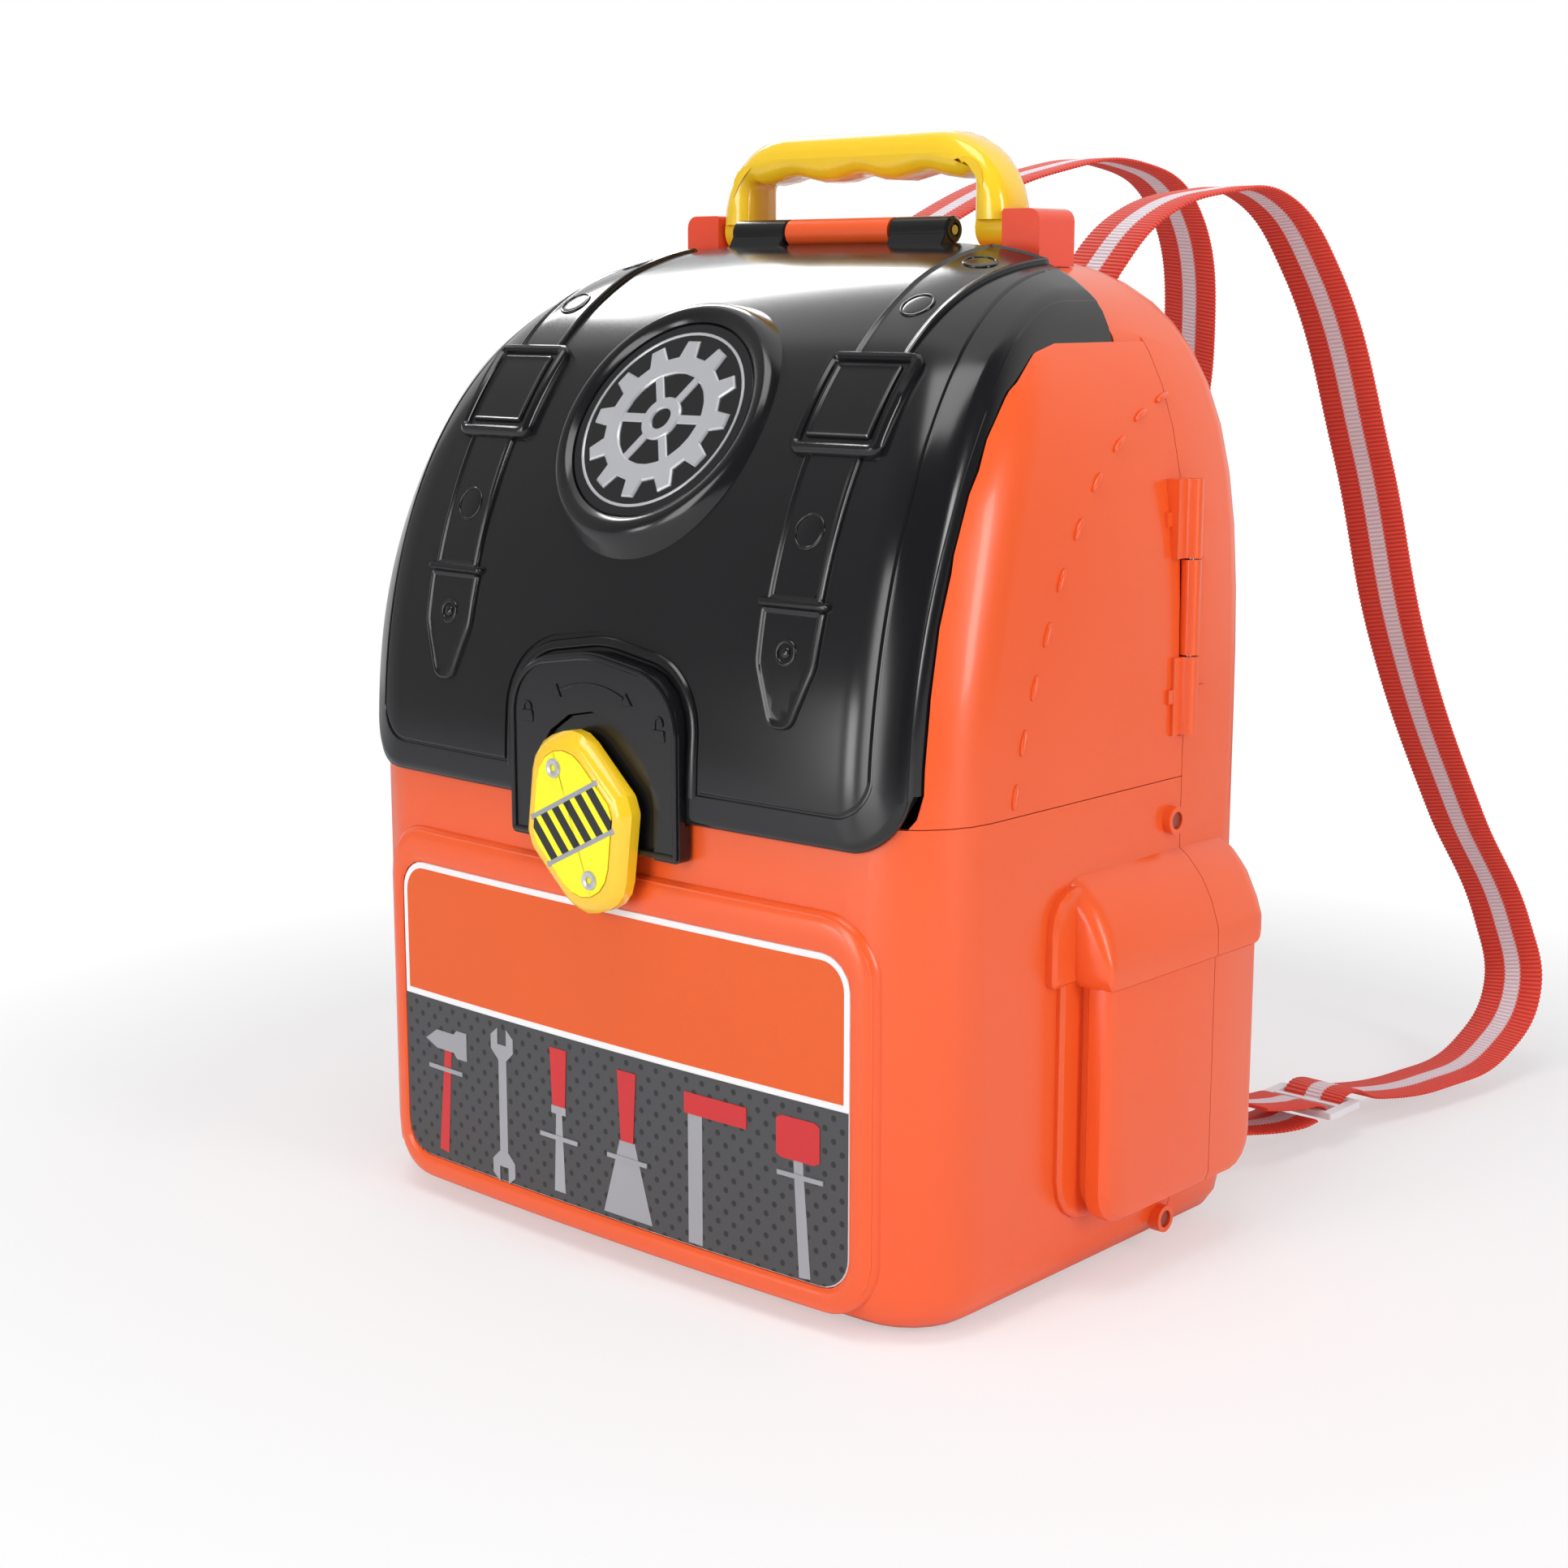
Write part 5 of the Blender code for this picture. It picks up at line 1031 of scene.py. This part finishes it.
def make_badge():
    """The badge: a rounded ring, a black face and a plain silver gear."""
    ring = [(BADGE_RADIUS + over, height) for over, height in BADGE_RING]
    ring += [(BADGE_FACE_RADIUS + over, height) for over, height in BADGE_RING_FOOT]
    turned("badge_ring", ring, BADGE_CENTRE, BADGE_OUT, black, "lid", 96)
    plate = [(BADGE_FACE_RADIUS + over, height) for over, height in BADGE_FACE]
    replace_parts(turned("badge_face", plate, BADGE_CENTRE, BADGE_OUT, black, "lid", 96), "badge_plate")
    teeth, hole = [], []
    for index in range(GEAR_TEETH):
        for share, reach in TOOTH:
            along = spot(1.0, 2 * math.pi * (index + share) / GEAR_TEETH)
            teeth.append(along * GEAR_RADIUS * reach)
            hole.append(along * GEAR_RADIUS * GEAR_HOLE_SHARE)
    collar("gear_rim", ((teeth, TOOTH_LEVELS), (hole, HOLE_LEVELS)), on_badge, silver, "lid")
    bead("gear_hub", disc(HUB_RADIUS, 32), HUB_SECTION, on_badge, silver, "lid")
    spokes = []
    for index in range(SPOKES):
        along = spot(1.0, 2 * math.pi * index / SPOKES)
        across = Vector((-along.y, along.x)) * SPOKE_HALF
        near, far = along * SPOKE_START, along * (GEAR_RADIUS * SPOKE_REACH_SHARE)
        spokes.append(pad(f"gear_spoke_{index}", [near + across, near - across, far - across, far + across],
                          SPOKE_LEVELS, on_badge, silver, "lid", 0.0))
    joined("gear_spokes", spokes)
    bead("badge_line", disc(BADGE_LINE_RADIUS, 64), LINE_SECTION, on_badge, silver, "lid")


KNUCKLE_NEAR = ((HINGE_PIN_RADIUS, 0.0), (HINGE_RADIUS - 0.0006, 0.0), (HINGE_RADIUS, 0.0006))
KNUCKLE_FAR = ((HINGE_RADIUS, -0.0008), (HINGE_RADIUS - 0.0009, 0.0), (0.0024, 0.0), (0.0022, -0.0008),
               (HINGE_PIN_RADIUS, -0.0008))
HINGE_FOOT = ((HINGE_Y - 0.0070, CASE_HEIGHT + 0.0005), (LID_REAR_Y - HINGE_SOFT, CASE_HEIGHT + 0.0005),
              (LID_REAR_Y - HINGE_SOFT, HINGE_Z - 0.001), (HINGE_Y - 0.0018, HINGE_Z + 0.0030))


def sideways(places):
    """Carries (back, up, across) to the room's own order."""
    return [(out, u, v) for u, v, out in places]


def make_hinge():
    """The lid's own knuckles with their feet, and the pin's ends."""
    length = HINGE_END - HINGE_MIDDLE
    profile = [*KNUCKLE_NEAR, *((radius, length + past) for radius, past in KNUCKLE_FAR)]
    foot = [Vector(corner) for corner in HINGE_FOOT]
    for label, side in SIDES:
        start, finish = side * HINGE_MIDDLE, side * HINGE_END
        turned(f"lid_knuckle_{label}", profile, (start, HINGE_Y, HINGE_Z), (side, 0.0, 0.0), black, "lid", 32)
        near, far = sorted((start + side * HINGE_SOFT, finish - side * HINGE_SOFT))
        levels = ((HINGE_SOFT, near), (0.0, near + HINGE_SOFT), (0.0, far - HINGE_SOFT), (HINGE_SOFT, far))
        pad(f"lid_foot_{label}", foot, levels, sideways, black, "lid", 0.0)


# The latch.

ARCH_EDGE = ((0.0008, -0.0005), (0.0008, 0.0006), (0.0013, 0.0010), (0.0020, 0.0010), (0.0025, 0.0006),
             (0.0025, -0.0005))
MARK_LEVELS = ((0.0, -0.0004), (0.0, 0.0003), (0.0002, 0.0005))
BAR_LEVELS = ((0.0, -0.0002), (0.0, 0.0002), (0.0003, 0.0004))
NUT_PROFILE = ((0.0012, 0.0002), (0.0012, 0.0009), (0.0017, 0.0012), (0.0027, 0.0012), (0.0031, 0.0008),
               (0.0031, -0.0002), (0.0014, -0.0002))


def make_latch_marks():
    """The bead round the latch arch, and plain moulded signs: a double arrow, a shut and an open padlock."""
    def mark(name, outline):
        pad(name, outline, MARK_LEVELS, on_arch, black, "lid", 0.0)

    bead("arch_bead", arch_outline(0.0), ARCH_EDGE, on_arch, black, "lid")
    arc = [math.radians(angle) for angle in range(66, 115, 4)]
    mark("arrow_shaft", [spot(ARROW_RADIUS + ARROW_HALF, angle, (0.0, ARROW_Z)) for angle in arc]
         + [spot(ARROW_RADIUS - ARROW_HALF, angle, (0.0, ARROW_Z)) for angle in reversed(arc)])
    swing = [math.pi * step / 10 for step in range(11)]
    for label, side in SIDES:
        angle = math.radians(90 - side * ARROW_SPREAD)
        at = spot(ARROW_RADIUS, angle, (0.0, ARROW_Z))
        along = Vector((math.sin(angle), -math.cos(angle))) * side
        across = Vector((-along.y, along.x)) * ARROW_WIDE
        mark(f"arrow_head_{label}", [at + along * ARROW_LONG, at + across, at - across])
        middle = Vector((side * PADLOCK_AT[0], PADLOCK_AT[1]))
        mark(f"padlock_{label}", rounded_box(middle.x - PADLOCK_HALF, middle.x + PADLOCK_HALF,
                                             middle.y - PADLOCK_LOW, middle.y - PADLOCK_HIGH, 0.0006, 3))
        lift = PADLOCK_LIFT if side > 0 else 0.0
        outer, inner = [[middle + spot(radius, turn, (0.0, lift)) for turn in swing]
                        for radius in (HOOP_OUTER, HOOP_INNER)]
        feet = [middle + Vector((across, height)) for across, height in (
            (HOOP_OUTER, lift - PADLOCK_HIGH), (-HOOP_OUTER, -PADLOCK_HIGH), (-HOOP_INNER, -PADLOCK_HIGH),
            (HOOP_INNER, lift - PADLOCK_HIGH))]
        mark(f"padlock_hoop_{label}", [feet[0], *outer, feet[1], feet[2], *reversed(inner), feet[3]])


def make_knob_trim():
    """Two grey bars and two nuts on the knob's sticker."""
    along = Vector((math.cos(BAR_SLANT), math.sin(BAR_SLANT)))
    across = Vector((-along.y, along.x))
    for label, side in (("low", -1), ("high", 1)):
        middle = across * side * BAR_OFF
        bar = [middle + along * reach * BAR_REACH + across * wide * BAR_HALF
               for reach, wide in ((-1, -1), (1, -1), (1, 1), (-1, 1))]
        pad(f"knob_bar_{label}", bar, BAR_LEVELS, on_knob, tool_grey, "knob", 0.0)
        centre = on_knob([(NUT_AT[0] * side, NUT_AT[1] * side, 0.0)])[0]
        turned(f"knob_nut_{label}", NUT_PROFILE, centre, (0.0, -1.0, 0.0), silver, "knob", 24)


# The case's details.

def make_stitches():
    """A row of moulded stitches on each side door."""
    rise = 0.001
    for label, side in SIDES:
        places = []
        for index, (y, z) in enumerate(STITCH_ROUTE):
            near, far = STITCH_ROUTE[max(index - 1, 0)], STITCH_ROUTE[min(index + 1, len(STITCH_ROUTE) - 1)]
            reach, above = (CASE_WIDTH / 2 * kept_share(height, SHOULDER_Z, CASE_HEIGHT, SHOULDER_POWER)
                            for height in (z, z + rise))
            facing = Vector((rise, 0.0, reach - above)).normalized()
            back, up = far[0] - near[0], far[1] - near[1]
            ahead = Vector((side * (above - reach) * up / rise, back, up)).normalized()
            places.append((Vector((side * (reach + STITCH_PROUD), y, z)),
                           Vector((side * facing.x, 0.0, facing.z)), ahead))
        sizes = dict(zip(STITCH_SIZES, (STITCH_LENGTH, STITCH_WIDTH)))
        repeated(f"door_stitches_{label}", STITCHES, places, sizes, orange, f"door_{label}")


FRAME_OUTER = ((-0.0012, -0.0008), (-0.0010, 0.0004), (-0.0002, 0.0016), (0.0012, 0.0024), (0.0030, 0.0028))
FRAME_INNER = ((-0.0024, 0.0028), (-0.0010, 0.0025), (-0.0002, 0.0018), (0.0, 0.0008), (0.0, -0.0008))


def printed(name, outline, finish, layer):
    """A thin printed field on the label, a few hundredths of a millimetre over what lies below it."""
    top = LABEL_PROUD + LABEL_THICK + PRINT_STEP * layer
    return pad(name, outline, ((0.0, LABEL_PROUD + 0.0002), (0.0, top)), on_front, finish, "case",
               PRINT_PITCH)


def finer(outline, parts=24, longest=0.02):
    """The same outline with each long side in as many parts."""
    fine = []
    for index, point in enumerate(outline):
        ahead = outline[(index + 1) % len(outline)]
        steps = parts if (ahead - point).length > longest else 1
        fine += [point.lerp(ahead, step / steps) for step in range(steps)]
    return fine


def make_label():
    """The front label: an orange field in a white border over a pegboard, in the tub's raised frame."""
    half, room = LABEL_HALF_WIDTH, LABEL_HALF_WIDTH + LABEL_MARGIN
    card = pad("label_card", rounded_box(-half, half, LABEL_LOW_Z, LABEL_HIGH_Z, LABEL_CORNER),
               ((0.0, LABEL_PROUD), (0.0, LABEL_PROUD + 0.0004), (0.0002, LABEL_PROUD + LABEL_THICK)),
               on_front,
               label_white, "case", PRINT_PITCH)
    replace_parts(card, "front_label")
    outer = finer(rounded_box(-FRAME_HALF_WIDTH, FRAME_HALF_WIDTH, FRAME_LOW_Z, FRAME_HIGH_Z,
                              FRAME_CORNER, 10))
    low, high = LABEL_LOW_Z - LABEL_MARGIN, LABEL_HIGH_Z + LABEL_MARGIN
    hole = finer(rounded_box(-room, room, low, high, LABEL_CORNER, 10))
    collar("label_frame", ((outer, FRAME_OUTER), (hole, FRAME_INNER)), on_front, orange, "case")
    inner, low, high = half - LABEL_BORDER, BOARD_HIGH_Z + LABEL_BORDER, LABEL_HIGH_Z - LABEL_BORDER
    turn = LABEL_CORNER - LABEL_BORDER
    field = fillet([(-inner, low, 0.0), (inner, low, 0.0), (inner, high, turn), (-inner, high, turn)], 8)
    printed("label_field", field, label_orange, 1)
    edge, low = half - GAP, LABEL_LOW_Z + GAP
    board = fillet([(-edge, low, LABEL_CORNER), (edge, low, LABEL_CORNER), (edge, BOARD_HIGH_Z, 0.0),
                    (-edge, BOARD_HIGH_Z, 0.0)], 8)
    printed("label_board", board, pegboard, 1)


HAMMER_HEAD = ((-0.0120, 0.0150), (-0.0060, 0.0128), (0.0030, 0.0128), (0.0048, 0.0112), (0.0100, 0.0112),
               (0.0100, 0.0200), (0.0048, 0.0200), (0.0030, 0.0186), (-0.0060, 0.0186))
JAW = ((-0.0018, -0.0050), (-0.0056, -0.0018), (-0.0056, 0.0026), (-0.0022, 0.0050), (-0.0022, 0.0000),
       (0.0022, 0.0000), (0.0022, 0.0050), (0.0056, 0.0026), (0.0056, -0.0018), (0.0018, -0.0050))
SQUARE_STOCK = ((0.0, 0.0), (0.0260, 0.0), (0.0260, 0.0062), (0.0, 0.0062))
MALLET_HEAD = ((0.0, 0.0010), (0.0020, 0.0), (0.0150, 0.0), (0.0170, 0.0010), (0.0170, 0.0110),
               (0.0150, 0.0120), (0.0020, 0.0120), (0.0, 0.0110))
PEG = ((-0.0090, 0.0), (0.0090, 0.0), (0.0090, 0.0013), (-0.0090, 0.0013))
PEG_PLACES = ((-0.080, 0.046), (-0.022, 0.0360), (0.010, 0.0360), (0.083, 0.046))


def moved(corners, x, z, flip=1):
    """An outline of corners about a place, or its mirror image."""
    return [Vector((x + u, z + flip * v)) for u, v in corners]


def strip(x, angle, low, high, foot, head, z=0.040):
    """A straight outline along its own axis, from a foot's half width to a head's."""
    at, along = Vector((x, z)), Vector((math.sin(angle), math.cos(angle)))
    across = Vector((along.y, -along.x))
    return [at + along * up + across * wide
            for up, wide in ((low, -foot), (low, foot), (high, head), (high, -head))]


def make_printed_tools():
    """Six plain hand tools printed on the pegboard."""
    shapes = [
        (strip(-0.080, 0.10, -0.020, 0.014, 0.0024, 0.0018), tool_red, 2),
        (moved(HAMMER_HEAD, -0.0786, 0.0400), tool_grey, 3),
        (moved(JAW, -0.050, 0.02175, -1), tool_grey, 3),
        (moved(JAW, -0.050, 0.0600), tool_grey, 3),
        (strip(-0.050, 0.0, -0.0155, 0.0155, 0.0020, 0.0020, 0.041), tool_grey, 2),
        (strip(-0.022, 0.0, -0.0200, 0.0060, 0.0026, 0.0013), tool_grey, 2),
        (strip(-0.022, 0.0, 0.0060, 0.0240, 0.0030, 0.0040), tool_red, 3),
        (strip(-0.022, 0.0, 0.0040, 0.0064, 0.0034, 0.0034), tool_grey, 4),
        (strip(0.010, 0.0, -0.0210, 0.0020, 0.0110, 0.0034), tool_grey, 2),
        (strip(0.010, 0.0, 0.0020, 0.0230, 0.0028, 0.0042), tool_red, 3),
        (strip(0.040, 0.0, -0.0220, 0.0200, 0.0030, 0.0030), tool_grey, 2),
        (moved(SQUARE_STOCK, 0.0355, 0.0560), tool_red, 3),
        (strip(0.083, -0.08, -0.0220, 0.0130, 0.0022, 0.0018), tool_grey, 2),
        (moved(MALLET_HEAD, 0.0735, 0.0510), tool_red, 3),
        *((moved(PEG, x, low), tool_grey, 5) for x, low in PEG_PLACES),
    ]
    tools = []
    for outline, finish, layer in shapes:
        drawn = [Vector((point.x, TOOL_MIDDLE_Z + (point.y - TOOL_MIDDLE_Z) * TOOL_STRETCH))
                 for point in outline]
        tools.append(printed(f"printed_tool_{len(tools):02d}", drawn, finish, layer))
    joined("printed_tools", tools)


# Straps.

# Each strap's centre line as (across, back, up), laid as in the CAD from its slot to its slider.
STRAP_ROUTES = {
    "right": ((0.050, 0.0680, 0.3000), (0.050, 0.0800, 0.3000), (0.0505, 0.0920, 0.3040),
              (0.052, 0.1030, 0.3180), (0.055, 0.1250, 0.3360), (0.061, 0.1560, 0.3450),
              (0.066, 0.1860, 0.3440), (0.071, 0.2150, 0.3180), (0.080, 0.2420, 0.2500),
              (0.092, 0.2560, 0.1760), (0.104, 0.2860, 0.1070), (0.116, 0.3080, 0.0600),
              (0.122, 0.3080, 0.0330), (0.121, 0.2860, 0.0130), (0.116, 0.2450, 0.0075),
              (0.108, 0.2080, 0.0100)),
    "left": ((-0.050, 0.0680, 0.3000), (-0.050, 0.0800, 0.3000), (-0.050, 0.0920, 0.3040),
             (-0.048, 0.1040, 0.3180), (-0.042, 0.1400, 0.3400), (-0.033, 0.1850, 0.3560),
             (-0.027, 0.2300, 0.3600), (-0.026, 0.2680, 0.3450), (-0.034, 0.2960, 0.2900),
             (-0.055, 0.3080, 0.2200), (-0.080, 0.3120, 0.1500), (-0.102, 0.3120, 0.0900),
             (-0.117, 0.3060, 0.0450), (-0.120, 0.2840, 0.0150), (-0.116, 0.2450, 0.0075),
             (-0.108, 0.2080, 0.0100)),
}
WEAVE_SHARES = ((1.0, 1.4), (0.0, -1.4), (-1.0, 1.4), (-2.2, 2.3), (-3.6, 3.5), (-5.0, 5.0))
LOWER_WEAVE_SHARES = (-2.2, -1.3)
SECTION_SHARES = (-1.0, -0.93, -0.5, 0.0, 0.5, 0.93, 1.0)
EDGE_THICKNESS = 0.35
SMOOTHING_WINDOW = 24


def smooth_line(points):
    """A smooth curve through given points, as places a quarter of a rib apart."""
    curve = bpy.data.curves.new("route", "CURVE")
    curve.dimensions = "3D"
    curve.resolution_u = 48
    line = curve.splines.new("BEZIER")
    line.bezier_points.add(len(points) - 1)
    for knot, place in zip(line.bezier_points, points):
        knot.co = place
        knot.handle_left_type = knot.handle_right_type = "AUTO"
    item = bpy.data.objects.new("route", curve)
    scene.collection.objects.link(item)
    mesh = plain_mesh(item)
    bpy.data.objects.remove(item)
    places = np.array([corner.co for corner in mesh.vertices])
    bpy.data.meshes.remove(mesh)
    lengths = np.concatenate(([0.0], np.cumsum(np.linalg.norm(np.diff(places, axis=0), axis=1))))
    stops = np.linspace(0.0, lengths[-1], int(lengths[-1] / (RIB / 4)) + 1)
    return np.column_stack([np.interp(stops, lengths, places[:, axis]) for axis in range(3)]), stops


def make_webbing(name, route, replaced):
    """Ribbed webbing with scalloped edges along a line, with its own map in metres."""
    places, stops = smooth_line(route)
    ahead = np.gradient(places, axis=0)
    window = SMOOTHING_WINDOW
    kernel = np.ones(window) / window
    padded = np.vstack([np.repeat(ahead[:1], window, axis=0), ahead, np.repeat(ahead[-1:], window, axis=0)])
    ahead = np.column_stack([np.convolve(padded[:, axis], kernel, "same")[window:-window]
                             for axis in range(3)])
    ahead /= np.linalg.norm(ahead, axis=1)[:, None]
    flat = np.array([1.0, 0.0, 0.0]) - ahead * ahead[:, :1]
    flat /= np.linalg.norm(flat, axis=1)[:, None]
    up = np.cross(ahead, flat)
    wave = np.sin(2 * math.pi * stops / RIB)
    half = STRAP_WIDTH / 2 - SCALLOP + SCALLOP * wave
    thick = STRAP_THICK / 2 - RIB_RISE + RIB_RISE * wave
    section = [(share, EDGE_THICKNESS if abs(share) == 1.0 else 1.0) for share in SECTION_SHARES]
    section += [(share, -lift) for share, lift in reversed(section)]
    points, maps = [], []
    for index in range(len(places)):
        for share, lift in section:
            points.append(places[index] + flat[index] * half[index] * share + up[index] * thick[index] * lift)
            maps.append((half[index] * share, stops[index]))
    strap = finished(name, points, rod_faces(len(section), len(places)), webbing, "case")
    layer = strap.data.uv_layers.new(name="weave")
    corners = np.empty(len(strap.data.loops), int)
    strap.data.loops.foreach_get("vertex_index", corners)
    layer.data.foreach_set("uv", np.array(maps, float)[corners].ravel())
    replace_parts(strap, replaced)
    print(f"{name}: {stops[-1] * 1000:.0f} mm of webbing")


def make_straps():
    """Both shoulder straps and both lower straps, threaded through their sliders."""
    pitch = SLIDER_BAR + SLIDER_SLOT
    over = SLIDER_THICK / 2 + GAP + STRAP_THICK / 2
    for label, side in SIDES:
        slider, x = nodes[f"slider_{label}"], side * SLIDER_X
        upper = [(x, SLIDER_Y + pitch * run, SLIDER_Z + over * lift) for run, lift in WEAVE_SHARES]
        make_webbing(f"shoulder_strap_{label}", [*STRAP_ROUTES[label], *upper], f"strap_{label}")
        anchor, back, up = side * LOWER_ANCHOR[0], *LOWER_ANCHOR[1:]
        lower = [(anchor, back, up), (anchor, CASE_REAR, up),
                 ((anchor + x) / 2, (CASE_REAR + SLIDER_Y) / 2, SLIDER_Z)]
        lower += [(x, SLIDER_Y + pitch * run, SLIDER_Z - over) for run in LOWER_WEAVE_SHARES]
        make_webbing(f"lower_strap_{label}", lower, f"strap_lower_{label}")


make_lid_shell()
make_belts()
make_rivets()
make_badge()
make_hinge()
make_latch_marks()
make_knob_trim()
make_stitches()
make_label()
make_printed_tools()
make_straps()


# Camera, light and backdrop.

YAW, PITCH = math.radians(41.95), math.radians(10.99)
CAMERA_PLACE = (0.5699, -0.6325, 0.311)
FOCAL_SHARE = 3137.0 / 1932.0
SENSOR = 36.0
WHITE = (1.0, 1.0, 1.0, 1.0)
FILL, FILL_STRENGTH = (0.93, 0.95, 1.0, 1.0), 0.45
# Strengths of the room that gloss shows, as (from, to, start, end) over angles in degrees
ROOM_BEHIND = (0.06, 1.0, 38, 58)
ROOM_FRONT_LEFT = (0.30, 0.0, -150, -95)
FLOOR_RADIUS = 1.6
FLOOR_PLACE = (0.0, 0.08, -0.001)
FLOOR_FADE = (0.16, 0.46)
FLOOR_LEAST_GLOW = 0.45


def set_in_room(name, data, place, forward):
    """An object at a place that looks along a direction."""
    item = bpy.data.objects.new(name, data)
    item.location = place
    item.rotation_euler = forward.to_track_quat("-Z", "Y").to_euler()
    scene.collection.objects.link(item)
    return item


camera = bpy.data.cameras.new("camera")
camera.sensor_width = SENSOR
camera.lens = FOCAL_SHARE * SENSOR
scene.camera = set_in_room("camera", camera, CAMERA_PLACE, Vector((
    -math.sin(YAW) * math.cos(PITCH), math.cos(YAW) * math.cos(PITCH), -math.sin(PITCH))))

# Rectangular lamps: place, target, width, height, power, and whether their light falls on matt surfaces too.
for name, place, target, width, height, power, diffuse in (
        ("lamp_front", (0.0, -1.5, 0.45), (0.0, 0.0, 0.18), 0.6, 1.1, 11.0, True),
        ("lamp_top", (0.15, -0.35, 1.45), (0.0, 0.0, 0.2), 0.8, 0.6, 6.6, True),
        ("lamp_right", (1.50, -0.02, 0.62), (0.1, 0.0, 0.20), 0.26, 0.9, 8.6, True),
        ("crest_panel", (-0.81, 0.52, 1.05), (0.0, -0.005, 0.316), 0.75, 0.22, 9.0, False),
        ("corner_panel", (-0.70, -1.55, 0.13), (0.10, -0.082, 0.18), 0.30, 0.42, 3.0, False)):
    lamp = bpy.data.lights.new(name, "AREA")
    lamp.shape = "RECTANGLE"
    lamp.size, lamp.size_y, lamp.energy = width, height, power
    set_in_room(name, lamp, place, Vector(target) - Vector(place)).visible_diffuse = diffuse


def mixed(tree, share, first, second):
    """Two shaders mixed by a share."""
    return node(tree, "ShaderNodeMixShader", {"Fac": share, 1: first, 2: second})


def make_world():
    """A white backdrop; gloss shows it behind the object, and a dim room in front of it."""
    world = bpy.data.worlds.new("studio")
    scene.world = world
    world.use_nodes = True
    tree = world.node_tree
    backdrop = tree.nodes["Background"]
    backdrop.inputs["Color"].default_value = WHITE
    backdrop.inputs["Strength"].default_value = 1.0
    fill = node(tree, "ShaderNodeBackground", {"Color": FILL, "Strength": FILL_STRENGTH})
    around = node(tree, "ShaderNodeTexCoord").outputs["Generated"]
    split = node(tree, "ShaderNodeSeparateXYZ", {"Vector": around}).outputs
    heading = maths(tree, "ARCTAN2", split["Y"], split["X"])
    parts = [spread(tree, heading, low, high, math.radians(start), math.radians(end))
             for low, high, start, end in (ROOM_BEHIND, ROOM_FRONT_LEFT)]
    room = node(tree, "ShaderNodeBackground", {"Color": WHITE, "Strength": maths(tree, "ADD", *parts)})
    path = node(tree, "ShaderNodeLightPath").outputs
    glossy = mixed(tree, path["Is Glossy Ray"], fill, room)
    seen = maths(tree, "MAXIMUM", path["Is Camera Ray"], path["Is Transmission Ray"])
    shown = mixed(tree, seen, glossy, backdrop)
    tree.links.new(shown.outputs[0], tree.nodes["World Output"].inputs["Surface"])


def make_floor():
    """A pale floor that keeps the shadow and fades into the white backdrop."""
    shape = bmesh.new()
    bmesh.ops.create_circle(shape, cap_ends=True, segments=96, radius=FLOOR_RADIUS)
    mesh = bpy.data.meshes.new("floor")
    shape.to_mesh(mesh)
    shape.free()
    floor = bpy.data.objects.new("floor", mesh)
    floor.location = FLOOR_PLACE
    scene.collection.objects.link(floor)
    finish, tree, shader = new_material("pale_floor", (0.93, 0.93, 0.93), 0.7)
    shader.inputs["Specular IOR Level"].default_value = 0.1
    far = node(tree, "ShaderNodeVectorMath", {0: place_on(tree)}, operation="LENGTH")
    fade = spread(tree, far.outputs["Value"], 0.0, 1.0, *FLOOR_FADE)
    glow = node(tree, "ShaderNodeEmission", {"Color": WHITE})
    camera_ray = node(tree, "ShaderNodeLightPath").outputs["Is Camera Ray"]
    share = maths(tree, "MULTIPLY", maths(tree, "MAXIMUM", fade, FLOOR_LEAST_GLOW), camera_ray)
    both = mixed(tree, share, shader, glow)
    tree.links.new(both.outputs[0], tree.nodes["Material Output"].inputs["Surface"])
    mesh.materials.append(finish)


make_world()
make_floor()
scene.view_settings.view_transform = "Standard"
